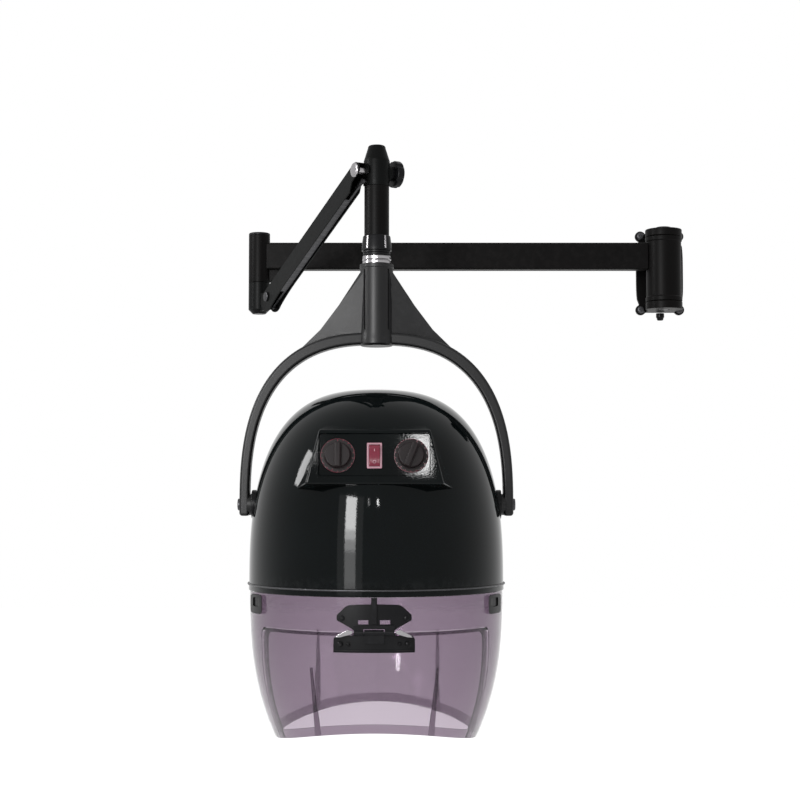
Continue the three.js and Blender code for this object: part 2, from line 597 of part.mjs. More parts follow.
// The dome's outline from the rim to the top, moved in by inset.
function domeCurve(inset, steps = 10) {
  const curve = [];
  for (let i = 0; i <= steps; i++) {
    const turn = (i / steps) * (Math.PI / 2);
    const radius = (HALF - inset) * Math.cos(turn) ** (2 / HOOD_SIDE_POWER);
    curve.push([i === steps ? 0 : radius, (HOOD_HEIGHT - inset) * Math.sin(turn) ** (2 / HOOD_RISE_POWER)]);
  }
  return curve;
}

// A turned profile stretched front to back to the hood's plan.
function ovalTurned(profile, sides = 32) {
  return turned(profile, sides).scale([1, stretch, 1]);
}

function domeSolid(grow) {
  return ovalTurned([[0, -60], [HALF + grow, -60], ...domeCurve(-grow)]);
}

const pivotSide = domeRadius(TILT_PIVOT_HEIGHT - PAD_RADIUS); // widest shell under the pads
const strapInner = pivotSide + YOKE_TO_HOOD - 3;
const padFace = pivotSide + 0.8;
const bossFace = padFace + RUN;

// ---- Yoke: it swivels about the drop tube. Its frame stands on that axis, level with the tilt pivots.
const crownLow = HOOD_HEIGHT - TILT_PIVOT_HEIGHT + YOKE_HEADROOM;
const crownHigh = crownLow + YOKE_CROWN;
const hubBottom = crownLow - 2;
const hubTop = hubBottom + YOKE_HUB_HEIGHT;
const collarTop = hubTop + FIT + COLLAR_HEIGHT;
const tiltZ = DROP_TUBE_BOTTOM - FIT - WASHER_THICKNESS - RUN - collarTop;
const yoke = group(root, at(dropPoint.x, dropPoint.y, tiltZ));

function archPoints(halfSpan, rise, steps = 11) {
  const points = [[halfSpan, -YOKE_TAIL]];
  for (let i = 0; i < steps; i++) {
    const turn = (i / steps) * (Math.PI / 2);
    points.push([halfSpan * Math.cos(turn) ** (2 / YOKE_CURVE), rise * Math.sin(turn) ** (2 / YOKE_CURVE)]);
  }
  return points;
}

function yokePieces() {
  const outer = mirrored([...archPoints(strapInner + YOKE_STRAP, crownHigh), [0, crownHigh]].slice(0, -1));
  const inner = mirrored(archPoints(strapInner, crownLow));
  let body = slab([...outer, ...inner.reverse()], YOKE_DEPTH);

  const web = new THREE.Shape();
  web.moveTo(-strapInner * YOKE_WEB_SPREAD, crownLow - YOKE_WEB_DROP);
  web.quadraticCurveTo(-YOKE_HUB_RADIUS - YOKE_WEB_SWEEP, crownHigh + YOKE_WEB_BEND, -YOKE_HUB_RADIUS + 2, hubTop - YOKE_WEB_TOP);
  web.lineTo(YOKE_HUB_RADIUS - 2, hubTop - YOKE_WEB_TOP);
  web.quadraticCurveTo(YOKE_HUB_RADIUS + YOKE_WEB_SWEEP, crownHigh + YOKE_WEB_BEND, strapInner * YOKE_WEB_SPREAD, crownLow - YOKE_WEB_DROP);
  web.lineTo(0, crownLow + 2);
  body = body.add(slab(web, YOKE_WEB_DEPTH));
  body = body.add(rod(YOKE_HUB_RADIUS, hubTop - hubBottom, "z", at(0, 0, hubBottom), 24));
  body = body.subtract(rod(SWIVEL_RADIUS + FIT, hubTop, "z", at(0, 0, hubBottom + YOKE_SOCKET_FLOOR), 20));
  for (const side of [-1, 1]) {
    const start = at(side > 0 ? bossFace : -strapInner - 2, 0, 0);
    body = body.add(rod(BOSS_RADIUS, strapInner + 2 - bossFace, "x", start));
    const bore = at(side > 0 ? 0 : -2 * strapInner, 0, 0);
    body = body.subtract(rod(PIVOT_SCREW_RADIUS + FIT, 2 * strapInner, "x", bore, 16));
  }
  mesh("yoke", body, "castGrey", yoke);

  const collar = tube(collarRadius, SWIVEL_RADIUS + FIT, hubTop + FIT, collarTop);
  mesh("swivel_collar", collar, "steel", yoke);
  const bushTop = DROP_TUBE_BOTTOM + SWIVEL_BUSH_HEIGHT - tiltZ;
  const spindleTop = bushTop + RUN + SWIVEL_NUT_HEIGHT + 3;
  const spindleBottom = hubBottom + YOKE_SOCKET_FLOOR + FIT;
  mesh("swivel_spindle", rod(SWIVEL_RADIUS, spindleTop - spindleBottom, "z", at(0, 0, spindleBottom)), "steel", yoke);
  const nut = rod(SWIVEL_RADIUS + NUT_WALL, SWIVEL_NUT_HEIGHT, "z", at(0, 0, bushTop + RUN), 6);
  mesh("swivel_nut", nut.subtract(rod(SWIVEL_RADIUS + FIT, 20, "z", at(0, 0, bushTop - 5))), "steel", yoke);

  for (const [label, side] of [["left", -1], ["right", 1]]) {
    const headFace = strapInner + YOKE_STRAP + FIT;
    const tip = domeRadius(TILT_PIVOT_HEIGHT) - HOOD_WALL - TILT_NUT_TO_SHELL - TILT_NUT_HEIGHT - TILT_SCREW_END;
    let screw = rod(PIVOT_SCREW_RADIUS, headFace - tip, "x", at(tip, 0, 0), 16);
    screw = screw.add(rod(PIVOT_SCREW_HEAD_RADIUS, PIVOT_SCREW_HEAD_HEIGHT, "x", at(headFace, 0, 0), 20));
    screw = screw.subtract(rod(PIVOT_SCREW_SOCKET_RADIUS, 4, "x", at(headFace + PIVOT_SCREW_SOCKET_FLOOR, 0, 0), 6));
    mesh(`tilt_screw_${label}`, screw.scale([side, 1, 1]), "steel", yoke);
    let lockNut = rod(PIVOT_SCREW_RADIUS + NUT_WALL, TILT_NUT_HEIGHT, "x", at(tip + TILT_SCREW_END, 0, 0), 6);
    lockNut = lockNut.subtract(rod(PIVOT_SCREW_RADIUS + FIT, 20, "x", at(tip - 5, 0, 0), 16));
    mesh(`tilt_nut_${label}`, lockNut.scale([side, 1, 1]), "steel", yoke);
  }
}
yokePieces();

// ---- Hood: it tilts in the yoke. Its frame stands on the rim's plane, -Y to the front.
const hood = group(root, at(dropPoint.x, dropPoint.y, tiltZ - TILT_PIVOT_HEIGHT));
const consoleBottom = HOOD_HEIGHT - CONSOLE_DROP - CONSOLE_HEIGHT;
const consoleFront = domeRadius(consoleBottom) * stretch + CONSOLE_PROUD;
const face = group(hood, at(0, -consoleFront, consoleBottom));
face.rotation.x = Math.PI / 2 - radians(CONSOLE_LEAN);
const faceHeight = CONSOLE_HEIGHT / Math.cos(radians(CONSOLE_LEAN));

function hoodShell() {
  const outer = domeCurve(0);
  const inner = domeCurve(HOOD_WALL).reverse();
  let shell = ovalTurned([...outer, ...inner]);
  const windowDepth = HOOD_DEPTH / 2;
  const windowWidth = 2 * (CONTROL_SPACING + CONTROL_BODY_RADIUS + 8);
  const windowHeight = 2 * (CONTROL_BODY_RADIUS + 8);
  const windowZ = consoleBottom + CONTROL_HEIGHT;
  shell = shell.subtract(block(windowWidth, windowDepth, windowHeight, at(0, -windowDepth / 2 - 60, windowZ)));
  const bore = at(-HOOD_WIDTH, 0, TILT_PIVOT_HEIGHT);
  shell = shell.subtract(rod(PIVOT_SCREW_RADIUS + RUN, 2 * HOOD_WIDTH, "x", bore, 16));
  mesh("hood_shell", shell, "glossBlack", hood);
}

function rimRing() {
  const outer = HALF + RIM_BAND_PROUD;
  const inner = HALF - VISOR_INSET - 7;
  const flange = HALF - RIM_FLANGE_WIDTH;
  const low = -RIM_BAND_HEIGHT;
  const ring = ovalTurned([
    [flange, low],
    [outer - 1.5, low],
    [outer - 1.5, -3],
    [outer, -2],
    [outer, -FIT],
    [inner, -FIT],
    [inner, low + RIM_FLANGE_THICKNESS],
    [flange, low + RIM_FLANGE_THICKNESS],
  ]);
  mesh("rim_ring", ring, "glossBlack", hood);
}

const domeInside = HOOD_HEIGHT - HOOD_WALL;
const motorTop = domeInside - MOUNT_HEIGHT;
const motorBottom = motorTop - MOTOR_HEIGHT;
const fanTop = motorBottom - FAN_DROP;
const domeHeight = fanTop - FAN_HEIGHT - FAN_TO_DOME;
const domeFoot = HALF - RIM_FLANGE_WIDTH + 4;

function diffuserDome() {
  const foot = -RIM_BAND_HEIGHT + RIM_FLANGE_THICKNESS + FIT;
  const radius = domeFoot;
  const outline = (inset, steps = 6) => {
    const points = [];
    for (let i = 0; i <= steps; i++) {
      const turn = (i / steps) * (Math.PI / 2);
      points.push([i === steps ? 0 : (radius - inset) * Math.cos(turn), (domeHeight - inset) * Math.sin(turn)]);
    }
    return points;
  };
  let dome = ovalTurned([[radius - DOME_WALL, foot], [radius, foot], ...outline(0), ...outline(DOME_WALL).reverse()]);
  for (let i = 0; i < DOME_SLOTS; i++) {
    const slot = block(70, DOME_SLOT_WIDTH, domeHeight, at(85, 0, domeHeight / 2 + 50));
    dome = dome.subtract(slot.rotate([0, 0, (i * 360) / DOME_SLOTS]));
  }
  mesh("diffuser_dome", dome, "greyInner", hood);
}

function tiltPads() {
  for (const [label, side] of [["left", -1], ["right", 1]]) {
    let pad = rod(PAD_RADIUS, 30, "x", at(padFace - 30, 0, TILT_PIVOT_HEIGHT), 24);
    pad = pad.subtract(rod(PIVOT_SCREW_RADIUS + RUN, 60, "x", at(padFace - 50, 0, TILT_PIVOT_HEIGHT), 16));
    pad = pad.subtract(domeSolid(FIT));
    mesh(`tilt_pad_${label}`, pad.scale([side, 1, 1]), "satinBlack", hood);
  }
}

// The console's face in its own plane: x across, y up, z out of the face.
function consoleOutline(inset) {
  const low = CONSOLE_BOTTOM_WIDTH / 2 - inset;
  const high = CONSOLE_TOP_WIDTH / 2 - inset;
  return new THREE.Shape([
    new THREE.Vector2(-low, inset),
    new THREE.Vector2(low, inset),
    new THREE.Vector2(high, faceHeight - inset),
    new THREE.Vector2(-high, faceHeight - inset),
  ]);
}

function inFace(shape) {
  return shape.rotate([90 - CONSOLE_LEAN, 0, 0]).translate(0, -consoleFront, consoleBottom);
}

function consolePieces() {
  const outside = new THREE.ExtrudeGeometry(consoleOutline(2), {
    depth: CONSOLE_DEPTH,
    bevelThickness: 2,
    bevelSize: 2,
    bevelSegments: 1,
  }).translate(0, 0, -CONSOLE_DEPTH - 2);
  const inside = new THREE.ExtrudeGeometry(consoleOutline(CONSOLE_WALL), { depth: 2 * CONSOLE_DEPTH, bevelEnabled: false });
  let shell = solid(outside).subtract(solid(inside.translate(0, 0, -2 * CONSOLE_DEPTH - CONSOLE_WALL)));
  for (const side of [-1, 1]) {
    const centre = at(side * CONTROL_SPACING, CONTROL_HEIGHT, -10);
    shell = shell.subtract(rod(CONTROL_SHAFT_RADIUS + RUN + 1, 20, "z", centre, 16));
  }
  const hole = [SWITCH_WIDTH - 2 * SWITCH_LIP + 2 * FIT, SWITCH_HEIGHT - 2 * SWITCH_LIP + 2 * FIT];
  shell = shell.subtract(block(hole[0], hole[1], 20, at(0, CONTROL_HEIGHT, 0)));
  mesh("control_console", inFace(shell).subtract(domeSolid(FIT)), "glossBlack", hood);

  for (const [label, side] of [["timer", -1], ["temperature", 1]]) {
    const x = side * CONTROL_SPACING;
    const bodyTop = -CONSOLE_WALL - FIT;
    let body = rod(CONTROL_BODY_RADIUS, CONTROL_BODY_LENGTH, "z", at(x, CONTROL_HEIGHT, bodyTop - CONTROL_BODY_LENGTH));
    body = body.subtract(rod(CONTROL_SHAFT_RADIUS + RUN, 10, "z", at(x, CONTROL_HEIGHT, bodyTop - 8), 16));
    mesh(`${label}_body`, body, "greyInner", face);

    const gripBase = RUN + DIAL_THICKNESS;
    let grip = rod(DIAL_RADIUS, DIAL_THICKNESS, "z", at(0, 0, RUN), 24);
    grip = grip.add(rod(GRIP_RADIUS, GRIP_HEIGHT, "z", at(0, 0, gripBase), 24));
    const bar = block(GRIP_BAR_WIDTH, 2 * GRIP_RADIUS + 2, GRIP_BAR_HEIGHT, at(0, 0, gripBase + GRIP_BAR_HEIGHT / 2));
    grip = grip.add(bar.intersect(rod(GRIP_RADIUS + 0.5, 40, "z", origin, 24)));
    const shaftEnd = bodyTop - 7;
    grip = grip.add(rod(CONTROL_SHAFT_RADIUS, gripBase + 2 - shaftEnd, "z", at(0, 0, shaftEnd), 12));
    mesh(`${label}_knob`, grip.translate(x, CONTROL_HEIGHT, 0), "satinBlack", face);
  }

  const openWidth = SWITCH_WIDTH - 2 * SWITCH_BEZEL;
  const openHeight = SWITCH_HEIGHT - 2 * SWITCH_BEZEL;
  const centre = (z) => at(0, CONTROL_HEIGHT, z);
  let frame = block(SWITCH_WIDTH, SWITCH_HEIGHT, SWITCH_PROUD, centre(FIT + SWITCH_PROUD / 2));
  const neck = [SWITCH_WIDTH - 2 * SWITCH_LIP, SWITCH_HEIGHT - 2 * SWITCH_LIP];
  frame = frame.add(block(neck[0], neck[1], SWITCH_BODY_LENGTH, centre(1 - SWITCH_BODY_LENGTH / 2)));
  frame = frame.subtract(block(openWidth, openHeight, 30, centre(15 - 9)));
  mesh("switch_frame", frame, "whiteFrame", face);
  let rocker = block(openWidth - 2 * RUN, openHeight - 4 * RUN, 7, at(0, 0, 1.5));
  rocker = rocker.subtract(rod(60, openWidth, "x", at(-openWidth / 2, 0, 64.2), 72));
  mesh("power_rocker", rocker.rotate([ROCKER_REST, 0, 0]).translate(0, CONTROL_HEIGHT, 0), "redSwitch", face);
}

// ---- Blower: motor, fan and heater above the diffuser dome.
function blowerPieces() {
  const mount = turned([
    [0, motorTop + FIT],
    [MOUNT_RADIUS, motorTop + FIT],
    [MOUNT_RADIUS, motorTop + 5],
    [MOUNT_BOSS_RADIUS, motorTop + 8],
    [MOUNT_BOSS_RADIUS, domeInside - 3 * FIT],
    [0, domeInside - 3 * FIT],
  ]);
  mesh("motor_mount", mount, "blackMetal", hood);
  const motor = turned([
    [0, motorTop],
    [0, motorBottom + 20],
    [SHAFT_RADIUS + RUN, motorBottom + 20],
    [SHAFT_RADIUS + RUN, motorBottom],
    [MOTOR_RADIUS - 4, motorBottom],
    [MOTOR_RADIUS, motorBottom + 4],
    [MOTOR_RADIUS, motorTop - 4],
    [MOTOR_RADIUS - 4, motorTop],
  ]);
  mesh("blower_motor", motor, "steel", hood);

  let fan = rod(FAN_RADIUS, FAN_DISC, "z", at(0, 0, fanTop - FAN_DISC), 24);
  fan = fan.add(rod(12, FAN_HEIGHT, "z", at(0, 0, fanTop - FAN_HEIGHT), 20));
  for (let i = 0; i < FAN_BLADES; i++) {
    const blade = block(FAN_RADIUS - 12, FAN_BLADE_THICKNESS, FAN_HEIGHT, at(FAN_RADIUS / 2 + 4, 0, fanTop - FAN_HEIGHT / 2));
    fan = fan.add(blade.rotate([0, 0, 25]).translate(0, -12, 0).rotate([0, 0, (i * 360) / FAN_BLADES]));
  }
  fan = fan.intersect(rod(FAN_RADIUS, 200, "z", at(0, 0, 100), 24));
  fan = fan.add(rod(SHAFT_RADIUS, 18 + FAN_DROP, "z", at(0, 0, fanTop - 2), 16));
  mesh("blower_fan", fan, "greyInner", hood);

  const element = new THREE.TorusGeometry(HEATER_RADIUS, HEATER_TUBE_RADIUS, 8, 24);
  const seatHeight = domeHeight + 2 * FIT;
  const seatRadius = domeFoot + 2 * FIT;
  const heaterZ = seatHeight * Math.sqrt(1 - (HEATER_RADIUS / seatRadius) ** 2) + HEATER_RISE;
  mesh("heater_element", solid(element).translate(0, 0, heaterZ), "steel", hood);
  const inner = HEATER_RADIUS - HEATER_FRAME_WIDTH / 2;
  const frameTop = heaterZ - HEATER_TUBE_RADIUS - FIT;
  let frame = tube(inner + HEATER_FRAME_WIDTH, inner, seatHeight / 3, frameTop, 24);
  const ball = new THREE.SphereGeometry(1, 36, 24).rotateX(Math.PI / 2);
  const seat = ball.scale(seatRadius, seatRadius * stretch, seatHeight);
  frame = frame.subtract(solid(seat));
  mesh("heater_frame", frame, "greyInner", hood);
}

// ---- Visor: a fixed clear skirt under the rim, and a flap that closes its front.
const visorTopRadius = HALF - VISOR_INSET;
const visorTop = -RIM_BAND_HEIGHT - FIT;

function visorRadius(drop) {
  const share = Math.max(0, (drop - RIM_BAND_HEIGHT) / (VISOR_DROP - RIM_BAND_HEIGHT));
  return visorTopRadius - VISOR_TAPER * share ** 2.6;
}

// A band of the visor's own curve, from one distance out of it to another.
function visorBand(inside, outside, from, to, steps = 5) {
  const points = (grow) => {
    const line = [];
    for (let i = 0; i <= steps; i++) {
      const drop = from + ((to - from) * i) / steps;
      line.push([visorRadius(drop) + grow, -drop]);
    }
    return line;
  };
  return ovalTurned([...points(outside), ...points(inside).reverse()]);
}

function neckCut() {
  const radius = (NECK_HALF_WIDTH ** 2 + NECK_RISE ** 2) / (2 * NECK_RISE);
  const length = 2 * HOOD_DEPTH;
  return rod(radius, length, "y", at(0, -length / 2, -VISOR_DROP + NECK_RISE - radius), 96);
}

// The room in front of the flap's leaning side edges and below its top edge, moved out of them by a gap.
function frontRoom(gap) {
  const lean = (FLAP_SIDE_TOP - FLAP_SIDE_BOTTOM) / VISOR_DROP;
  const top = -FLAP_TOP - gap;
  const foot = -2 * VISOR_DROP;
  const edge = (z) => FLAP_SIDE_TOP + gap + z * lean;
  const side = [[edge(top), top], [edge(foot), foot], [2 * HOOD_DEPTH, foot], [2 * HOOD_DEPTH, top]];
  return slab(side, 2 * HOOD_WIDTH).rotate([0, 0, -90]);
}

// A flat outline seen from the front, wrapped onto the visor's front as a plate.
function wrappedPlate(outline, inside, outside, from, to) {
  const front = slab(outline, HOOD_DEPTH).translate(0, -HOOD_DEPTH / 2, 0);
  return visorBand(inside, outside, from, to, 3).intersect(front);
}

function visorPieces() {
  let skirt = visorBand(-VISOR_WALL, 0, RIM_BAND_HEIGHT + FIT, VISOR_DROP);
  for (const side of [-1, 1]) {
    const rib = block(RIB_WIDTH, 2 * HOOD_DEPTH, VISOR_DROP, at((side * RIB_SPACING) / 2, HOOD_DEPTH, -VISOR_DROP / 2 - RIB_TOP));
    skirt = skirt.add(visorBand(-VISOR_WALL - 2, -1, RIB_TOP, VISOR_DROP).intersect(rib));
  }
  skirt = skirt.subtract(frontRoom(0)).subtract(neckCut());
  mesh("visor_skirt", skirt, "smokedClear", hood);

  let flap = visorBand(-VISOR_WALL, 0, FLAP_TOP + FLAP_GAP, VISOR_DROP).intersect(frontRoom(FLAP_GAP));
  for (const side of [-1, 1]) {
    const x = (side * FLAP_RIB_SPACING) / 2;
    const rib = block(RIB_WIDTH, HOOD_DEPTH, VISOR_DROP, at(x, -HOOD_DEPTH / 2, -VISOR_DROP / 2 - FLAP_RIB_TOP));
    flap = flap.add(visorBand(-VISOR_WALL - 2, -1, FLAP_RIB_TOP, VISOR_DROP).intersect(rib));
  }
  mesh("visor_flap", flap.subtract(neckCut()), "smokedClear", hood);

  const hingeZ = -FLAP_TOP - FLAP_GAP / 2;
  const hingeY = -(visorTopRadius * stretch + FIT + HINGE_BARREL_RADIUS);
  const barrel = (from, to) => rod(HINGE_BARREL_RADIUS, to - from, "x", at(from, hingeY, hingeZ), 16);
  const half = HINGE_BARREL_WIDTH / 2;
  const pinBore = rod(HINGE_PIN_RADIUS + FIT, 200, "x", at(-100, hingeY, hingeZ), 12);

  const bracketOutline = mirrored([
    [4, -RIM_BAND_HEIGHT - FIT],
    [4, -BRACKET_TOP],
    [BRACKET_TOP_WIDTH / 2, -BRACKET_TOP],
    [BRACKET_WIDTH / 2, -BRACKET_MIDDLE + 5],
    [BRACKET_WIDTH / 2, -BRACKET_MIDDLE - 5],
    [half, hingeZ + 4],
  ]);
  let bracket = wrappedPlate(bracketOutline, FIT, HINGE_THICKNESS, RIM_BAND_HEIGHT + FIT, FLAP_TOP);
  bracket = bracket.add(slab([[-half, hingeZ], [half, hingeZ], [half, hingeZ + 12], [-half, hingeZ + 12]], 4).translate(0, hingeY, 0));
  const middle = half / 2;
  bracket = bracket.subtract(block(2 * middle + 2 * RUN, 30, 2 * HINGE_BARREL_RADIUS + 2, at(0, hingeY, hingeZ)));
  const outerKnuckles = barrel(-half, -middle - RUN).add(barrel(middle + RUN, half));
  bracket = bracket.add(outerKnuckles).subtract(pinBore);
  bracket = bracket.add(screwHeads(BRACKET_WIDTH / 2 - 7, -BRACKET_MIDDLE));
  mesh("hinge_bracket", bracket, "satinBlack", hood);

  const leafTop = LEAF_TOP;
  const leafOutline = mirrored([
    [0, -LEAF_BOTTOM],
    [LEAF_WIDTH / 2 - 3, -LEAF_BOTTOM],
    [LEAF_WIDTH / 2, -LEAF_BOTTOM + 3],
    [LEAF_WIDTH / 2, -leafTop - 6],
    [LEAF_WIDTH / 2 - 6, -leafTop],
    [0, -leafTop],
  ].slice(1, -1));
  let leaf = wrappedPlate(leafOutline, FIT, HINGE_THICKNESS, leafTop, LEAF_BOTTOM);
  const stem = slab([[-middle, hingeZ], [middle, hingeZ], [middle, -leafTop - 8], [-middle, -leafTop - 8]], 4);
  leaf = leaf.add(stem.translate(0, hingeY, 0)).add(barrel(-middle, middle)).subtract(pinBore);
  leaf = leaf.subtract(visorBand(-40, FIT, FLAP_TOP - 10, LEAF_BOTTOM + 10, 3));
  leaf = leaf.add(screwHeads(LEAF_WIDTH / 2 - 9, -(leafTop + LEAF_BOTTOM) / 2));
  mesh("hinge_leaf", leaf, "satinBlack", hood);
  mesh("hinge_pin", rod(HINGE_PIN_RADIUS, HINGE_BARREL_WIDTH, "x", at(-half, hingeY, hingeZ), 12), "steel", hood);

  for (const [label, side] of [["left", -1], ["right", 1]]) {
    const clipX = side * (visorTopRadius - 6 - CLIP_WIDTH / 2);
    const clipOutline = [
      [clipX - CLIP_WIDTH / 2, -CLIP_BOTTOM],
      [clipX + CLIP_WIDTH / 2, -CLIP_BOTTOM],
      [clipX + CLIP_WIDTH / 2, -CLIP_TOP],
      [clipX - CLIP_WIDTH / 2, -CLIP_TOP],
    ];
    mesh(`visor_clip_${label}`, wrappedPlate(clipOutline, FIT, CLIP_THICKNESS, CLIP_TOP, CLIP_BOTTOM), "satinBlack", hood);
  }
}

// Two rivet heads, x either side of the middle, on a plate wrapped on the visor's front.
function screwHeads(x, z) {
  const y = -stretch * Math.sqrt((visorTopRadius + HINGE_THICKNESS) ** 2 - x ** 2);
  const right = rod(HINGE_SCREW_RADIUS, 5, "y", at(x, y - 2, z), 12);
  return right.add(right.mirror([1, 0, 0]));
}

hoodShell();
rimRing();
diffuserDome();
tiltPads();
consolePieces();
blowerPieces();
visorPieces();

export default root;
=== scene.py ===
import json
import math

import bpy
from bpy.props import FloatProperty, FloatVectorProperty, IntProperty, PointerProperty
from mathutils import Matrix, Vector


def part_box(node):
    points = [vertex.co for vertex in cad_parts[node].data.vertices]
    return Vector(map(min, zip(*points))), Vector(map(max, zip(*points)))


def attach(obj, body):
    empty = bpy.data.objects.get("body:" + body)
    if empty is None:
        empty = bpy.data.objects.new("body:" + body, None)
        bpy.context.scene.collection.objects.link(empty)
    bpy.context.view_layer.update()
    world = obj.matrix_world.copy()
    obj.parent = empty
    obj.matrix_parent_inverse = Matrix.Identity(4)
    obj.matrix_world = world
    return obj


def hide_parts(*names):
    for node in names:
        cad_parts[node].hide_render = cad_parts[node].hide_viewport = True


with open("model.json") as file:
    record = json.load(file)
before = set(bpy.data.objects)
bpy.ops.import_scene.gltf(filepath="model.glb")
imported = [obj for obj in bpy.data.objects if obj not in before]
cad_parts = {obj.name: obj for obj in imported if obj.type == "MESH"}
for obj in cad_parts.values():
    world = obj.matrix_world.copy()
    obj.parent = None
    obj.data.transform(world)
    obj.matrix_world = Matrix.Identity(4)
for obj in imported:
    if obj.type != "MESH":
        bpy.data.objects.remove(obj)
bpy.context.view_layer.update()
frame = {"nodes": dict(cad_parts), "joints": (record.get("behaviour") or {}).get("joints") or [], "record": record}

bl_info = {
    "name": "Hood hair dryer",
    "version": (1, 0, 0),
    "blender": (4, 5, 0),
    "location": "3D View > Sidebar > Hair dryer",
    "description": "Models a wall-mounted hood hair dryer round its packed frame",
    "category": "Object",
}

BASE_HALF_TURN = math.pi
FULL_TURN = 2 * math.pi
SMOOTH_ANGLE = math.radians(35)
WELD = 1e-5
ROUND_STEPS = 96

# ---- Places taken from the frame


joints = {joint["name"]: joint for joint in frame["joints"]}


def joint_point(name):
    return Vector(joints[name]["pos_m"])


def axes_at(point, x_axis, y_axis):
    """The matrix of a local frame with these axes at a point."""
    z_axis = x_axis.cross(y_axis)
    turn = Matrix((x_axis, y_axis, z_axis)).transposed().to_4x4()
    return Matrix.Translation(point) @ turn


UP = Vector((0, 0, 1))
RIGHT = Vector((1, 0, 0))
PIN_AXIS = -Vector(joints["lift_pitch"]["axis"]).normalized()
LEVEL_AXIS = PIN_AXIS.cross(UP)
LOWER_PIVOT = joint_point("lift_pitch")
UPPER_PIVOT = joint_point("head_level")
LIFT_AXIS = (UPPER_PIVOT - LOWER_PIVOT).normalized()
LIFT_LENGTH = (UPPER_PIVOT - LOWER_PIVOT).length
ELBOW_AXIS = joint_point("elbow_swing")
DROP_AXIS = joint_point("yoke_swivel")
TILT_AXIS = joint_point("hood_tilt")
TILT_HEIGHT = 0.115
FACE_OUT = Vector(joints["timer_turn"]["axis"]).normalized()

WALL = Matrix.Translation((0, joint_point("main_arm_swing").y, 0))
ARM_END = Matrix.Translation((ELBOW_AXIS.x, ELBOW_AXIS.y, 0))
ELBOW = axes_at(Vector((ELBOW_AXIS.x, ELBOW_AXIS.y, 0)), LEVEL_AXIS, PIN_AXIS)
LIFT = axes_at(LOWER_PIVOT, LIFT_AXIS, PIN_AXIS)
LINK = axes_at(joint_point("link_pitch"), LIFT_AXIS, PIN_AXIS)
HEAD = axes_at(UPPER_PIVOT, LEVEL_AXIS, PIN_AXIS)
DROP = Matrix.Translation((DROP_AXIS.x, DROP_AXIS.y, 0))
YOKE = Matrix.Translation((DROP_AXIS.x, DROP_AXIS.y, TILT_AXIS.z))
HOOD = Matrix.Translation((DROP_AXIS.x, DROP_AXIS.y, TILT_AXIS.z - TILT_HEIGHT))
FACE = axes_at(joint_point("rocker_rock"), RIGHT, FACE_OUT.cross(RIGHT))


def half_width(node):
    low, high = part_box(node)
    return (high.x - low.x) / 2


def z_range(node):
    low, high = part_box(node)
    return low.z, high.z


# ---- Sizes and colours that a user would change


def length(name, default, description):
    return FloatProperty(name=name, description=description, default=default, min=0, unit="LENGTH")


def share(name, default, description):
    return FloatProperty(name=name, description=description, default=default, min=0, max=1, subtype="FACTOR")


def linear(level):
    """A screen level from 0 to 255 as the linear value that Blender's colours hold."""
    level = level / 255
    return level / 12.92 if level <= 0.04045 else ((level + 0.055) / 1.055) ** 2.4


def tone(name, red, green, blue, description):
    default = (linear(red), linear(green), linear(blue))
    return FloatVectorProperty(
        name=name, description=description, default=default, size=3, min=0, max=1, subtype="COLOR"
    )


class DryerArmSizes(bpy.types.PropertyGroup):
    """Sizes of the wall bracket, the arms and the head."""

    plate_lobe: length("Plate lobe radius", 0.009, "Radius of the wall plate's corner lobes")
    plate_thickness: length("Plate thickness", 0.008, "Thickness of the wall plate")
    screw_head: length("Screw head radius", 0.0065, "Radius of the wall screws' heads")
    tube_corner: length("Arm corner radius", 0.0035, "Rounding along the main arm's corners")
    casting_edge: length("Casting edge", 0.0016, "Rounding of the castings' edges")
    knuckle_chamfer: length("Knuckle chamfer", 0.007, "Chamfer at the foot of the elbow knuckle")
    lift_width: length("Lift arm width", 0.018, "Width of the rising arm's channel")
    lift_top: length("Lift arm top", 0.012, "Height of the rising arm above the line of its pivots")
    lift_bottom: length("Lift arm foot", 0.019, "Depth of the rising arm below the line of its pivots")
    lift_wall: length("Lift arm wall", 0.002, "Wall of the rising arm's channel")
    knob_radius: length("Clamp knob radius", 0.0205, "Radius of the clamp knob's wheel")
    knob_lobes: IntProperty(name="Clamp knob lobes", description="Number of grip lobes", default=6, min=3)


class DryerYokeSizes(bpy.types.PropertyGroup):
    """Sizes of the yoke and its swivel."""

    strap: length("Strap width", 0.015, "Width of the yoke's strap at the sides")
    crown: length("Crown width", 0.018, "Height of the yoke's strap at its top")
    depth: length("Strap depth", 0.028, "Depth of the strap, front to back")
    edge: length("Strap edge", 0.0045, "Rounding of the strap's edges")
    web_root: length("Web root depth", 0.030, "Depth of the webs at the hub")
    web_edge: length("Web edge depth", 0.008, "Depth of the webs at their outer edges")
    groove: length("Hub groove width", 0.0042, "Width of the grooves down the hub")


class DryerHoodSizes(bpy.types.PropertyGroup):
    """Sizes of the hood, its rim and its console."""

    width: length("Hood width", 0.380, "Width of the hood at the rim")
    depth: length("Hood depth", 0.418, "Depth of the hood at the rim, front to back")
    height: length("Hood height", 0.287, "Height of the shell above the rim")
    wall: length("Hood wall", 0.003, "Wall of the hood's shell")
    side_power: FloatProperty(name="Side fullness", description="How full the sides are", default=2.85, min=2)
    rise_power: FloatProperty(name="Crown fullness", description="How full the crown is", default=2.6, min=2)
    insert_width: length("Insert width", 0.153, "Width of the recess for the controls")
    insert_height: length("Insert height", 0.058, "Height of the recess for the controls")
    border: length("Console border", 0.002, "How far the console's border stands proud of its insert")
    dial_radius: length("Dial radius", 0.024, "Radius of the dials' skirts")
    dial_marks: IntProperty(name="Dial marks", description="Marks round each dial", default=15, min=3)


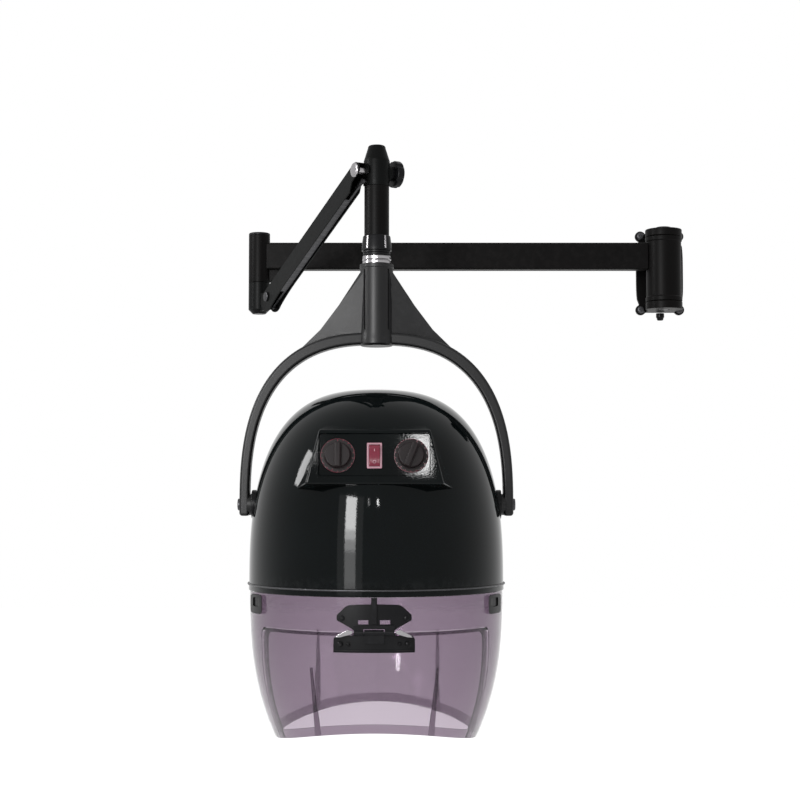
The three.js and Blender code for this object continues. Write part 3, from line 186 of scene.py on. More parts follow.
class DryerVisorSizes(bpy.types.PropertyGroup):
    """Sizes of the visor, its flap and its hinge."""

    drop: length("Visor drop", 0.226, "From the rim down to the visor's lowest edge")
    wall: length("Visor wall", 0.0025, "Wall of the visor")
    taper: length("Visor taper", 0.038, "How far the visor draws in at its foot")
    inset: length("Visor inset", 0.0015, "How far the visor's top lies inside the hood")
    neck_rise: length("Neck rise", 0.026, "How far the lower edge rises from the sides to the middle")
    flap_top: length("Flap top", 0.058, "From the rim down to the flap's top edge")
    flap_corner: length("Flap corner", 0.014, "Radius of the flap's upper corners")
    rib: length("Rib foot width", 0.0105, "Width of the visor's ribs at their feet")
    lip: length("Lip height", 0.013, "Height of the thicker lip along the visor's rear edge")


class DryerColours(bpy.types.PropertyGroup):
    """Colours of the dryer's finishes."""

    metal: tone("Arm paint", 13, 12, 12, "Satin black paint on the arms and the bracket")
    casting: tone("Casting paint", 11, 12, 12, "Paint on the elbow, the rising arm and the head")
    yoke: tone("Yoke paint", 26, 26, 27, "Satin dark grey paint on the yoke")
    dark_steel: tone("Dark steel", 70, 70, 72, "Blackened steel of pins, screws and the link")
    steel: tone("Bright steel", 158, 156, 158, "Turned steel of the collar and the bolt head")
    gloss: tone("Hood", 5, 10, 11, "Gloss black of the hood")
    satin: tone("Trim plastic", 18, 18, 20, "Satin black plastic of the hinge, sleeve and pads")
    knob: tone("Dial knobs", 30, 24, 25, "Dark brownish plastic of the dials' grips")
    inner: tone("Inner parts", 62, 62, 66, "Matte grey of the dome and other inner parts")
    pale: tone("Switch frame", 188, 138, 152, "Pale frame of the power switch")
    red: tone("Rocker", 122, 28, 52, "Red rocker of the power switch")
    smoke: tone("Visor smoke", 158, 131, 158, "Tint that light takes on through the visor")
    floor: tone("Floor", 240, 240, 240, "Pale floor of the stage")


def sizes(group):
    return getattr(bpy.context.scene, group)


# ---- Modelling tools, each a few of Blender's own operators


def deselect():
    active = bpy.context.view_layer.objects.active
    if active and active.mode != "OBJECT":
        bpy.ops.object.mode_set(mode="OBJECT")
    bpy.ops.object.select_all(action="DESELECT")


def activate(piece):
    deselect()
    piece.select_set(True)
    bpy.context.view_layer.objects.active = piece


def edit(piece, select="SELECT"):
    activate(piece)
    bpy.ops.object.mode_set(mode="EDIT")
    bpy.ops.mesh.select_all(action=select)


def close_up():
    """Merges the doubles of the mesh in edit mode, turns its faces outwards and leaves edit mode."""
    bpy.ops.mesh.select_all(action="SELECT")
    bpy.ops.mesh.remove_doubles(threshold=WELD)
    bpy.ops.mesh.normals_make_consistent(inside=False)
    bpy.ops.object.mode_set(mode="OBJECT")


def draw_line(points, closed):
    """Draws edges through the points, by extruding one corner on, and stays in edit mode."""
    deselect()
    bpy.ops.mesh.primitive_plane_add(size=0.01, location=(0, 0, 0))
    piece = bpy.context.object
    edit(piece)
    bpy.ops.mesh.merge(type="CENTER")
    bpy.ops.transform.translate(value=points[0])
    route = points[1:] + (points[:1] if closed else [])
    here = Vector(points[0])
    for point in route:
        step = Vector(point) - here
        bpy.ops.mesh.extrude_vertices_move(TRANSFORM_OT_translate={"value": step})
        here = Vector(point)
    bpy.ops.mesh.select_all(action="SELECT")
    bpy.ops.mesh.remove_doubles(threshold=WELD)
    return piece


def lathe(profile, steps=ROUND_STEPS):
    """A profile of (radius, height) points spun about the local z axis."""
    on_axis = profile[0][0] == 0 and profile[-1][0] == 0
    piece = draw_line([(radius, 0, height) for radius, height in profile], closed=not on_axis)
    bpy.ops.mesh.select_all(action="SELECT")
    bpy.ops.mesh.spin(steps=steps, angle=FULL_TURN, center=(0, 0, 0), axis=(0, 0, 1))
    close_up()
    return piece


def slab(outline, front, back):
    """An outline of (x, z) points extruded along y from front to back."""
    piece = draw_line([(x, front, z) for x, z in outline], closed=True)
    bpy.ops.mesh.edge_face_add()
    bpy.ops.mesh.extrude_region_move(TRANSFORM_OT_translate={"value": (0, back - front, 0)})
    close_up()
    return piece


def block(low, high):
    """A box between two corners."""
    deselect()
    low = Vector(low)
    high = Vector(high)
    bpy.ops.mesh.primitive_cube_add(size=1, location=(low + high) / 2)
    piece = bpy.context.object
    piece.scale = high - low
    bpy.ops.object.transform_apply(location=True, rotation=True, scale=True)
    return piece


def nudge(piece, chosen, offset=None, factors=None, centre=(0, 0, 0)):
    """Moves or stretches the corners that the test chooses."""
    edit(piece, "DESELECT")
    bpy.ops.object.mode_set(mode="OBJECT")
    for vertex in piece.data.vertices:
        vertex.select = chosen(vertex.co)
    bpy.ops.object.mode_set(mode="EDIT")
    if offset:
        bpy.ops.transform.translate(value=offset)
    if factors:
        bpy.ops.transform.resize(value=factors, center_override=centre)
    bpy.ops.object.mode_set(mode="OBJECT")
    return piece


def rod(radius, start, end, sides=64):
    """A round bar between two points."""
    deselect()
    start = Vector(start)
    end = Vector(end)
    along = end - start
    turn = along.to_track_quat("Z", "Y").to_euler()
    bpy.ops.mesh.primitive_cylinder_add(
        vertices=sides, radius=radius, depth=along.length, location=(start + end) / 2, rotation=turn
    )
    bpy.ops.object.transform_apply(location=True, rotation=True, scale=True)
    return bpy.context.object


def apply_modifier(piece, kind, **settings):
    activate(piece)
    bpy.ops.object.modifier_add(type=kind)
    modifier = piece.modifiers[-1]
    for name, value in settings.items():
        setattr(modifier, name, value)
    bpy.ops.object.modifier_apply(modifier=modifier.name)


def combine(piece, other, how):
    """Joins, cuts or crosses a piece with another, which is used up."""
    apply_modifier(piece, "BOOLEAN", operation=how, solver="EXACT", object=other)
    bpy.data.objects.remove(other)
    return piece


def cut(piece, *others):
    for other in others:
        combine(piece, other, "DIFFERENCE")
    return piece


def weld(piece, *others):
    for other in others:
        combine(piece, other, "UNION")
    return piece


def cross(piece, other):
    return combine(piece, other, "INTERSECT")


def gather(piece, *others):
    """Makes loose shells one piece without cutting them."""
    activate(piece)
    for other in others:
        other.select_set(True)
    bpy.ops.object.join()
    return piece


def soften(piece, width, segments=3, angle=35):
    apply_modifier(
        piece, "BEVEL", width=width, segments=segments, limit_method="ANGLE",
        angle_limit=math.radians(angle), miter_outer="MITER_ARC",
    )
    return piece


def place(piece, matrix):
    """Moves a piece's mesh by a matrix and leaves its object at the origin."""
    activate(piece)
    piece.matrix_world = matrix @ piece.matrix_world
    bpy.ops.object.transform_apply(location=True, rotation=True, scale=True)
    if matrix.determinant() < 0:
        edit(piece)
        close_up()
    return piece


def copy_of(piece, matrix):
    """A copy with its own mesh, moved by a matrix."""
    twin = piece.copy()
    twin.data = piece.data.copy()
    bpy.context.scene.collection.objects.link(twin)
    return place(twin, matrix)


def ring_of(piece, count, axis="Z", offset=0.0):
    """The piece and its copies, evenly round a local axis, as one mesh."""
    turns = [Matrix.Rotation(offset + FULL_TURN * i / count, 4, axis) for i in range(count)]
    copies = [copy_of(piece, turn) for turn in turns]
    bpy.data.objects.remove(piece)
    return gather(*copies) if count > 1 else copies[0]


def shade(piece):
    activate(piece)
    bpy.ops.object.shade_smooth_by_angle(angle=SMOOTH_ANGLE)
    apply_modifier(piece, "WEIGHTED_NORMAL", keep_sharp=True)


def settle(piece, name, body, slot, *nodes):
    """Names a finished piece, gives it its finish and rides it on its body in the place of its nodes."""
    shade(piece)
    piece.name = name
    piece.data.name = name
    piece.data.materials.clear()
    piece.data.materials.append(finish(slot))
    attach(piece, body)
    if nodes:
        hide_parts(*nodes)
    return piece


def arc(centre, radius, start, end, steps):
    """Points along an arc, with its angles in degrees."""
    points = []
    for i in range(steps + 1):
        angle = math.radians(start + (end - start) * i / steps)
        points.append((centre[0] + radius * math.cos(angle), centre[1] + radius * math.sin(angle)))
    return points


def mirrored(outline):
    """An outline's right half with its mirror image."""
    return outline + [(-x, z) for x, z in reversed(outline)]


# ---- Shared effects, as shader node groups


def new_group(name, inputs, outputs):
    tree = bpy.data.node_groups.new(name, "ShaderNodeTree")
    for label, default in inputs:
        socket = tree.interface.new_socket(label, in_out="INPUT", socket_type="NodeSocketFloat")
        socket.default_value = default
    for label in outputs:
        tree.interface.new_socket(label, in_out="OUTPUT", socket_type="NodeSocketFloat")
    source = tree.nodes.new("NodeGroupInput")
    sink = tree.nodes.new("NodeGroupOutput")
    return tree, source, sink


def noise(tree, vector, detail, scale=None, amount=1.0):
    node = tree.nodes.new("ShaderNodeTexNoise")
    node.inputs["Detail"].default_value = detail
    tree.links.new(vector, node.inputs["Vector"])
    if scale is None:
        node.inputs["Scale"].default_value = amount
    else:
        tree.links.new(scale, node.inputs["Scale"])
    return node.outputs["Fac"]


def calculate(tree, operation, first, second):
    node = tree.nodes.new("ShaderNodeMath")
    node.operation = operation
    for socket, value in zip(node.inputs, (first, second)):
        if isinstance(value, (int, float)):
            socket.default_value = value
        else:
            tree.links.new(value, socket)
    return node.outputs[0]


def remap(tree, value, low, high, to_low=0.0, to_high=1.0):
    node = tree.nodes.new("ShaderNodeMapRange")
    tree.links.new(value, node.inputs["Value"])
    node.inputs["From Min"].default_value = low
    node.inputs["From Max"].default_value = high
    node.inputs["To Min"].default_value = to_low
    node.inputs["To Max"].default_value = to_high
    return node.outputs["Result"]


def object_coordinates(tree):
    return tree.nodes.new("ShaderNodeTexCoord").outputs["Object"]


def grain_group():
    """Fine grain over slow waviness, as sprayed paint and moulded plastic have."""
    if "dryer_grain" in bpy.data.node_groups:
        return bpy.data.node_groups["dryer_grain"]
    tree, source, sink = new_group("dryer_grain", [("Scale", 900), ("Wave Scale", 60)], ["Height", "Mottle"])
    place_at = object_coordinates(tree)
    fine = noise(tree, place_at, 2, source.outputs["Scale"])
    wave = noise(tree, place_at, 1, source.outputs["Wave Scale"])
    height = calculate(tree, "ADD", calculate(tree, "MULTIPLY", fine, 0.35), calculate(tree, "MULTIPLY", wave, 0.65))
    tree.links.new(height, sink.inputs["Height"])
    tree.links.new(remap(tree, noise(tree, place_at, 4, amount=14), 0.35, 0.65), sink.inputs["Mottle"])
    return tree


def wear_group():
    """A mask of rubbed corners, broken up by noise."""
    if "dryer_wear" in bpy.data.node_groups:
        return bpy.data.node_groups["dryer_wear"]
    tree, source, sink = new_group("dryer_wear", [("Amount", 0.5)], ["Mask"])
    corner = tree.nodes.new("ShaderNodeNewGeometry").outputs["Pointiness"]
    ridge = remap(tree, corner, 0.53, 0.62)
    patch = remap(tree, noise(tree, object_coordinates(tree), 5, amount=120), 0.42, 0.7)
    mask = calculate(tree, "MULTIPLY", calculate(tree, "MULTIPLY", ridge, patch), source.outputs["Amount"])
    tree.links.new(mask, sink.inputs["Mask"])
    return tree


def dust_group():
    """A thin veil of dust that settles on faces that look up."""
    if "dryer_dust" in bpy.data.node_groups:
        return bpy.data.node_groups["dryer_dust"]
    tree, source, sink = new_group("dryer_dust", [("Amount", 0.1)], ["Mask"])
    split = tree.nodes.new("ShaderNodeSeparateXYZ")
    tree.links.new(tree.nodes.new("ShaderNodeNewGeometry").outputs["Normal"], split.inputs[0])
    level = remap(tree, split.outputs["Z"], 0.25, 1.0)
    patch = remap(tree, noise(tree, object_coordinates(tree), 6, amount=35), 0.3, 0.75)
    mask = calculate(tree, "MULTIPLY", calculate(tree, "MULTIPLY", level, patch), source.outputs["Amount"])
    tree.links.new(mask, sink.inputs["Mask"])
    return tree


def turning_group():
    """Rings round the z axis, as a lathe leaves them."""
    if "dryer_turning" in bpy.data.node_groups:
        return bpy.data.node_groups["dryer_turning"]
    tree, source, sink = new_group("dryer_turning", [("Scale", 700)], ["Height", "Streak"])
    mapping = tree.nodes.new("ShaderNodeMapping")
    mapping.inputs["Scale"].default_value = (0.02, 0.02, 1)
    tree.links.new(object_coordinates(tree), mapping.inputs["Vector"])
    rings = noise(tree, mapping.outputs["Vector"], 3, source.outputs["Scale"])
    tree.links.new(rings, sink.inputs["Height"])
    tree.links.new(remap(tree, rings, 0.3, 0.7), sink.inputs["Streak"])
    return tree


def add_group(tree, group, **values):
    node = tree.nodes.new("ShaderNodeGroup")
    node.node_tree = group
    for name, value in values.items():
        node.inputs[name.replace("_", " ")].default_value = value
    return node


def blend_colour(tree, mask, first, second):
    """A colour that goes from first to second where the mask is high; first may be a socket."""
    node = tree.nodes.new("ShaderNodeMix")
    node.data_type = "RGBA"
    tree.links.new(mask, node.inputs[0])
    for socket, value in ((node.inputs[6], first), (node.inputs[7], second)):
        if isinstance(value, bpy.types.NodeSocket):
            tree.links.new(value, socket)
        else:
            socket.default_value = (*value, 1)
    return node.outputs[2]


def bump(tree, shader, height, distance, strength=0.5):
    node = tree.nodes.new("ShaderNodeBump")
    node.inputs["Distance"].default_value = distance
    node.inputs["Strength"].default_value = strength
    tree.links.new(height, node.inputs["Height"])
    tree.links.new(node.outputs["Normal"], shader.inputs["Normal"])


def new_material(slot):
    material = bpy.data.materials.new("dryer_" + slot)
    material.use_nodes = True
    return material, material.node_tree, material.node_tree.nodes["Principled BSDF"]


def scaled(colour, factor):
    return tuple(min(1, channel * factor) for channel in colour)


# ---- Finishes


def painted(slot, colour, roughness, specular, grain, wave, depth, dust, wear, wear_colour):
    """Paint or moulded plastic: mottled colour, uneven gloss, grain, a little dust and rubbed corners."""
    material, tree, shader = new_material(slot)
    skin = add_group(tree, grain_group(), Scale=grain, Wave_Scale=wave)
    rubbed = add_group(tree, wear_group(), Amount=wear)
    veil = add_group(tree, dust_group(), Amount=dust)
    base = blend_colour(tree, skin.outputs["Mottle"], scaled(colour, 0.94), scaled(colour, 1.07))
    base = blend_colour(tree, rubbed.outputs["Mask"], base, wear_colour)
    base = blend_colour(tree, veil.outputs["Mask"], base, (0.16, 0.155, 0.15))
    tree.links.new(base, shader.inputs["Base Color"])
    low, high = roughness
    tree.links.new(remap(tree, skin.outputs["Mottle"], 0, 1, low, high), shader.inputs["Roughness"])
    shader.inputs["Specular IOR Level"].default_value = specular
    bump(tree, shader, skin.outputs["Height"], depth)
    return material


def arm_paint(slot):
    colour = sizes("dryer_colours").metal
    return painted(slot, colour, (0.40, 0.43), 0.045, 1400, 160, 0.00012, 0.03, 0.3, scaled(colour, 4))


def casting_paint(slot):
    colour = sizes("dryer_colours").casting
    return painted(slot, colour, (0.38, 0.42), 0.055, 900, 260, 0.0002, 0.03, 0.4, scaled(colour, 5))


def yoke_paint(slot):
    colour = sizes("dryer_colours").yoke
    return painted(slot, colour, (0.38, 0.42), 0.2, 900, 220, 0.00016, 0.03, 0.35, scaled(colour, 2.5))


def trim_plastic(slot):
    colour = sizes("dryer_colours").satin
    return painted(slot, colour, (0.33, 0.38), 0.1, 2200, 300, 0.00008, 0.02, 0.3, scaled(colour, 4))


def knob_plastic(slot):
    colour = sizes("dryer_colours").knob
    return painted(slot, colour, (0.36, 0.42), 0.11, 2400, 400, 0.00008, 0.0, 0.3, scaled(colour, 2.5))


def inner_plastic(slot):
    colour = sizes("dryer_colours").inner
    return painted(slot, colour, (0.5, 0.65), 0.3, 1600, 200, 0.0001, 0.05, 0.2, scaled(colour, 2))


def pale_plastic(slot):
    colour = sizes("dryer_colours").pale
    return painted(slot, colour, (0.25, 0.4), 0.4, 2400, 300, 0.00005, 0.0, 0.1, scaled(colour, 0.6))


def red_plastic(slot):
    colour = sizes("dryer_colours").red
    return painted(slot, colour, (0.16, 0.22), 0.35, 2400, 120, 0.00004, 0.0, 0.15, scaled(colour, 1.8))


def gloss_shell(slot):
    """Deep gloss black: slow waviness in the reflections, faint swirls and dust on top."""
    material, tree, shader = new_material(slot)
    colour = sizes("dryer_colours").gloss
    skin = add_group(tree, grain_group(), Scale=500, Wave_Scale=9)
    veil = add_group(tree, dust_group(), Amount=0.02)
    rubbed = add_group(tree, wear_group(), Amount=0.25)
    base = blend_colour(tree, skin.outputs["Mottle"], scaled(colour, 0.8), scaled(colour, 1.15))
    base = blend_colour(tree, rubbed.outputs["Mask"], base, (0.05, 0.055, 0.055))
    base = blend_colour(tree, veil.outputs["Mask"], base, (0.1, 0.1, 0.1))
    tree.links.new(base, shader.inputs["Base Color"])
    tree.links.new(remap(tree, skin.outputs["Mottle"], 0, 1, 0.03, 0.05), shader.inputs["Roughness"])
    shader.inputs["Specular IOR Level"].default_value = 0.1
    bump(tree, shader, skin.outputs["Height"], 0.0002, 0.3)
    return material


def metal(slot, colour, roughness):
    """Turned or drawn steel with fine rings and a little staining."""
    material, tree, shader = new_material(slot)
    rings = add_group(tree, turning_group(), Scale=900)
    skin = add_group(tree, grain_group(), Scale=1500, Wave_Scale=200)
    base = blend_colour(tree, skin.outputs["Mottle"], scaled(colour, 0.8), scaled(colour, 1.1))
    base = blend_colour(tree, rings.outputs["Streak"], base, scaled(colour, 0.7))
    tree.links.new(base, shader.inputs["Base Color"])
    low, high = roughness
    tree.links.new(remap(tree, rings.outputs["Streak"], 0, 1, low, high), shader.inputs["Roughness"])
    shader.inputs["Metallic"].default_value = 1
    bump(tree, shader, rings.outputs["Height"], 0.00006, 0.4)
    return material


def dark_steel(slot):
    return metal(slot, sizes("dryer_colours").dark_steel, (0.32, 0.5))


def bright_steel(slot):
    return metal(slot, sizes("dryer_colours").steel, (0.16, 0.32))


def smoked_plastic(slot):
    """Clear smoked plastic, tinted through its thickness so that edges and ribs read darker."""
    material, tree, shader = new_material(slot)
    skin = add_group(tree, grain_group(), Scale=300, Wave_Scale=14)
    shader.inputs["Base Color"].default_value = (0.97, 0.95, 0.97, 1)
    shader.inputs["Transmission Weight"].default_value = 1
    shader.inputs["IOR"].default_value = 1.35
    tree.links.new(remap(tree, skin.outputs["Mottle"], 0, 1, 0.02, 0.07), shader.inputs["Roughness"])
    bump(tree, shader, skin.outputs["Height"], 0.00015, 0.3)
    tint = tree.nodes.new("ShaderNodeVolumeAbsorption")
    tint.inputs["Color"].default_value = (*sizes("dryer_colours").smoke, 1)
    tint.inputs["Density"].default_value = 400
    tree.links.new(tint.outputs[0], tree.nodes["Material Output"].inputs["Volume"])
    return material


FINISHES = {
    "black_metal": arm_paint,
    "dark_casting": casting_paint,
    "grey_casting": yoke_paint,
    "dark_steel": dark_steel,
    "bright_steel": bright_steel,
    "gloss_shell": gloss_shell,
    "satin_plastic": trim_plastic,
    "knob_plastic": knob_plastic,
    "grey_plastic": inner_plastic,
    "pale_plastic": pale_plastic,
    "red_plastic": red_plastic,
    "smoked_plastic": smoked_plastic,
}


def finish(slot):
    name = "dryer_" + slot
    return bpy.data.materials.get(name) or FINISHES[slot](slot)


# ---- Wall bracket and main arm


def lobed_outline(half_x, half_z, lobe):
    """The wall plate: bowed sides between round corner lobes."""
    corner_x = half_x - lobe
    corner_z = half_z - lobe
    waist = corner_x + 0.3 * lobe
    belly = half_x - 0.0015
    side_steps = 12
    side = []
    for i in range(side_steps + 1):
        z = (corner_z - lobe) * (2 * i / side_steps - 1)
        bow = (1 - abs(z / (corner_z - lobe)) ** 4) ** 0.5
        side.append((waist + (belly - waist) * bow, z))
    upper = arc((corner_x, corner_z), lobe, -62, 150, 14)
    right = side + upper
    low = [(x, -z) for x, z in reversed(upper)]
    return mirrored(low + right)


def wall_plate():
    low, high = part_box("wall_plate")
    size = sizes("dryer_arm")
    outline = lobed_outline(high.x, high.z, size.plate_lobe)
    plate = slab(outline, low.y, high.y)
    soften(plate, size.casting_edge * 0.7)
    settle(plate, "wall_plate", "wall", "black_metal", "wall_plate")


def wall_ear(node, side):
    """A disc round the pin, drawn back to the plate."""
    low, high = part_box(node)
    radius = half_width(node)
    axis_y = WALL.translation.y
    root = 0.025
    straight = math.degrees(math.asin(root / radius))
    ear = arc((0, axis_y), radius, 90 - straight, -270 + straight, 40)
    outline = ear + [(-root, high.y), (root, high.y)]
    piece = draw_line([(x, y, low.z) for x, y in outline], closed=True)
    bpy.ops.mesh.edge_face_add()
    bpy.ops.mesh.extrude_region_move(TRANSFORM_OT_translate={"value": (0, 0, high.z - low.z)})
    close_up()
    cut(piece, rod(0.0083, (0, axis_y, low.z - 0.01), (0, axis_y, high.z + 0.01)))
    soften(piece, sizes("dryer_arm").casting_edge)
    settle(piece, node, "wall", "black_metal", node)


def wall_pin():
    low, high = z_range("wall_pivot_pin")
    shank = 0.008
    head = 0.014
    seat = high - 0.004
    profile = [(0, low), (shank - 0.001, low), (shank, low + 0.001), (shank, seat), (head, seat)]
    profile += [(head, seat + 0.0015)] + arc((head - 0.0025, seat + 0.0015), 0.0025, 0, 90, 6) + [(0, high)]
    pin = place(lathe(profile), WALL)
    settle(pin, "wall_pivot_pin", "wall", "dark_steel", "wall_pivot_pin")


def wall_screws():
    """One pan-head screw with a cross recess, copied to the four corners."""
    radius = sizes("dryer_arm").screw_head
    low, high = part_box("wall_screw_upper_right")
    head_back = low.y + 0.004
    profile = [(0, 0)] + [(0.003, 0), (0.003, 0.008), (radius, 0.008)]
    profile += arc((radius - 0.0025, 0.0095), 0.0025, 0, 90, 6) + [(0, 0.0122)]
    master = lathe(profile, steps=48)
    arms = [block((-0.0008, -0.0036, 0.0102), (0.0008, 0.0036, 0.013))]
    arms.append(block((-0.0036, -0.0008, 0.0102), (0.0036, 0.0008, 0.013)))
    cut(master, *arms)
    to_front = Matrix.Rotation(math.pi / 2, 4, "X")
    for node in ("wall_screw_upper_left", "wall_screw_upper_right", "wall_screw_lower_left", "wall_screw_lower_right"):
        low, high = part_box(node)
        centre = Vector(((low.x + high.x) / 2, head_back + 0.008, (low.z + high.z) / 2))
        screw = copy_of(master, Matrix.Translation(centre) @ to_front)
        settle(screw, node, "wall", "dark_steel", node)
    bpy.data.objects.remove(master)


def cable_gland():
    low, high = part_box("cable_inlet_gland")
    radius = half_width("cable_inlet_gland")
    bore = 0.004
    foot, top = low.z, high.z
    profile = [(bore, foot), (radius - 0.002, foot), (radius - 0.001, foot + 0.004), (radius, foot + 0.005)]
    profile += [(radius, top), (bore, top)]
    gland = lathe(profile, steps=48)
    soften(gland, 0.0005, segments=2)
    place(gland, Matrix.Translation((0, (low.y + high.y) / 2, 0)))
    settle(gland, "cable_inlet_gland", "wall", "satin_plastic", "cable_inlet_gland")


def wall_barrel():
    low, high = z_range("wall_barrel")
    radius = half_width("wall_barrel")
    bore = 0.0085
    lip = 0.0012
    profile = [(bore, low), (radius, low), (radius, low + 0.007), (radius - lip, low + 0.008)]
    profile += [(radius - lip, high - 0.008), (radius, high - 0.007), (radius, high), (bore, high)]
    barrel = place(lathe(profile), WALL)
    soften(barrel, 0.0008)
    settle(barrel, "wall_barrel", "main_arm", "black_metal", "wall_barrel")


def main_arm_tube():
    low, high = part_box("main_arm_tube")
    tube = block((low.x - 0.006, low.y, low.z), (high.x + 0.006, high.y, high.z))
    soften(tube, sizes("dryer_arm").tube_corner, segments=4)
    wall = 0.0025
    cut(tube, block((low.x - 0.05, low.y + wall, low.z + wall), (high.x + 0.05, high.y - wall, high.z - wall)))
    barrel = half_width("wall_barrel") + 0.0002
    cut(tube, place(rod(barrel, (0, 0, -0.1), (0, 0, 0.1), 128), WALL))
    elbow = half_width("elbow_barrel") + 0.0002
    cut(tube, place(rod(elbow, (0, 0, -0.1), (0, 0, 0.1), 128), ARM_END))
    settle(tube, "main_arm_tube", "main_arm", "black_metal", "main_arm_tube")


def elbow_gusset():
    """The rib under the main arm that stiffens its joint with the elbow's barrel."""
    arm_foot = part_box("main_arm_tube")[0].z
    foot = z_range("elbow_barrel")[0] + 0.001
    radius = half_width("elbow_barrel")
    outline = [(radius - 0.003, foot), (radius + 0.002, foot), (radius + 0.026, arm_foot + 0.001), (radius - 0.003, arm_foot + 0.001)]
    rib = slab(outline, -0.004, 0.004)
    soften(rib, 0.0012, segments=3)
    settle(place(rib, ARM_END), "elbow_gusset", "main_arm", "black_metal")


def elbow_barrel():
    low, high = z_range("elbow_barrel")
    radius = half_width("elbow_barrel")
    bore = 0.0095
    profile = [(bore, low), (radius, low), (radius, high), (bore + 0.005, high), (bore + 0.005, high - 0.008)]
    profile += [(bore, high - 0.008)]
    barrel = place(lathe(profile), ARM_END)
    soften(barrel, 0.0009)
    settle(barrel, "elbow_barrel", "main_arm", "black_metal", "elbow_barrel")
    low, high = z_range("elbow_cap")
    edge = 0.0018
    profile = [(0, low), (radius, low), (radius, high - edge)]
    profile += arc((radius - edge, high - edge), edge, 0, 90, 6) + [(radius * 0.6, high), (0, high - 0.0006)]
    cap = place(lathe(profile), ARM_END)
    settle(cap, "elbow_cap", "main_arm", "satin_plastic", "elbow_cap")


# ---- Elbow knuckle, rising arm and levelling link


def elbow_knuckle():
    """The hub under the main arm, with the tongue that carries the lower pivots."""
    low, high = z_range("elbow_knuckle")
    size = sizes("dryer_arm")
    radius = half_width("elbow_barrel")
    bore = 0.0093
    chamfer = size.knuckle_chamfer
    profile = [(bore, low), (radius - chamfer, low), (radius, low + chamfer), (radius, high), (bore, high)]
    hub = lathe(profile)
    reach = (ELBOW.inverted() @ LOWER_PIVOT).x
    height = LOWER_PIVOT.z
    link_height = joint_point("link_pitch").z
    land = 0.0085
    outline = [(0, link_height - 0.005), (reach, link_height - 0.0055), (reach + 0.0055, link_height)]
    outline += arc((reach, height), land, 0, 90, 10) + [(0, height + land)]
    tongue = slab(outline, -0.0065, -0.0005)
    cut(tongue, rod(0.0053, (reach, -0.05, height), (reach, 0.05, height)))
    cut(tongue, rod(0.0028, (reach, -0.05, link_height), (reach, 0.05, link_height)))
    weld(hub, tongue)
    cut(hub, rod(bore, (0, 0, low - 0.01), (0, 0, high + 0.01)))
    soften(hub, size.casting_edge * 0.6)
    place(hub, ELBOW)
    settle(hub, "elbow_knuckle", "elbow", "dark_casting", "elbow_knuckle")


def elbow_spindle():
    low, high = z_range("elbow_spindle")
    radius = half_width("elbow_spindle")
    edge = 0.0012
    profile = [(0, low), (radius - edge, low), (radius, low + edge), (radius, high - edge), (radius - edge, high), (0, high)]
    spindle = place(lathe(profile, steps=64), ARM_END)
    settle(spindle, "elbow_spindle", "elbow", "dark_steel", "elbow_spindle")


def pivot_pin(node, body, slot, matrix, shank, head, head_height, start, end):
    """A round pin along the lift axis with a domed head, from start to end along y."""
    crown = head_height * 0.45
    profile = [(0, 0), (head * 0.55, 0), (head - crown, crown * 0.35), (head, crown), (head, head_height)]
    profile += [(shank, head_height), (shank, end - start), (0, end - start)]
    pin = lathe(profile, steps=64)
    soften(pin, 0.0004, segments=2)
    along_y = Matrix.Translation((0, start, 0)) @ Matrix.Rotation(-math.pi / 2, 4, "X")
    place(pin, matrix @ along_y)
    settle(pin, node, body, slot, node)


def lift_arm():
    """A pressed channel, open below, with a deep boot round its lower pivot."""
    size = sizes("dryer_arm")
    half = size.lift_width / 2
    top = size.lift_top
    bottom = size.lift_bottom
    boot = 0.025
    end = LIFT_LENGTH
    notch = 0.009
    eye = 0.012
    outline = [(-0.0085, top)]
    for i in range(1, 9):
        t = i / 8
        x = (1 - t) ** 2 * -0.0085 + 2 * t * (1 - t) * -boot + t * t * -boot
        z = (1 - t) ** 2 * top + 2 * t * (1 - t) * top + t * t * -0.003
        outline.append((x, z))
    outline += arc((0, 0), boot, 187.2, 291.6, 20)
    start = outline[-1]
    for i in range(1, 9):
        t = i / 8
        x = (1 - t) ** 2 * start[0] + 2 * t * (1 - t) * 0.04 + t * t * 0.08
        z = (1 - t) ** 2 * start[1] + 2 * t * (1 - t) * -bottom + t * t * -bottom
        outline.append((x, z))
    outline += [(end - 0.03, -bottom), (end - 0.017, -notch), (end, -notch)]
    outline += arc((end, top - eye), eye, -40, 90, 14)
    arm = slab(outline, -half, half)
    soften(arm, 0.0022)
    inner = half - size.lift_wall
    room_top = top - size.lift_wall
    far = 0.06
    room = slab(
        [(-far, -far), (end + far, -far), (end + far, room_top), (0.002, room_top), (0.002, far), (-far, far)],
        -inner, inner,
    )
    cut(arm, room)
    for x in (0, end):
        cut(arm, rod(0.0055, (x, -0.03, 0), (x, 0.03, 0)))
    place(arm, LIFT)
    settle(arm, "lift_arm_channel", "lift_arm", "dark_casting", "lift_arm_channel")


def levelling_link():
    """A flat bar in the rising arm's channel, wider between its two eyes."""
    end = LIFT_LENGTH
    near = 0.0015
    back = 0.0055
    eye = 0.0045
    neck = 0.0025
    bar = block((0, near, -neck), (end, back, neck))
    strip = block((0.05, -0.0055, -neck), (end - 0.045, back, -neck + 0.0018))
    weld(bar, strip)
    for x in (0, end):
        weld(bar, rod(eye, (x, near, 0), (x, back, 0)))
    for x in (0, end):
        cut(bar, rod(0.003, (x, -0.02, 0), (x, 0.02, 0), 32))
    soften(bar, 0.0005, segments=2)
    place(bar, LINK)
    settle(bar, "levelling_link", "link", "dark_steel", "levelling_link")


# ---- Head, drop tube and clamp knob


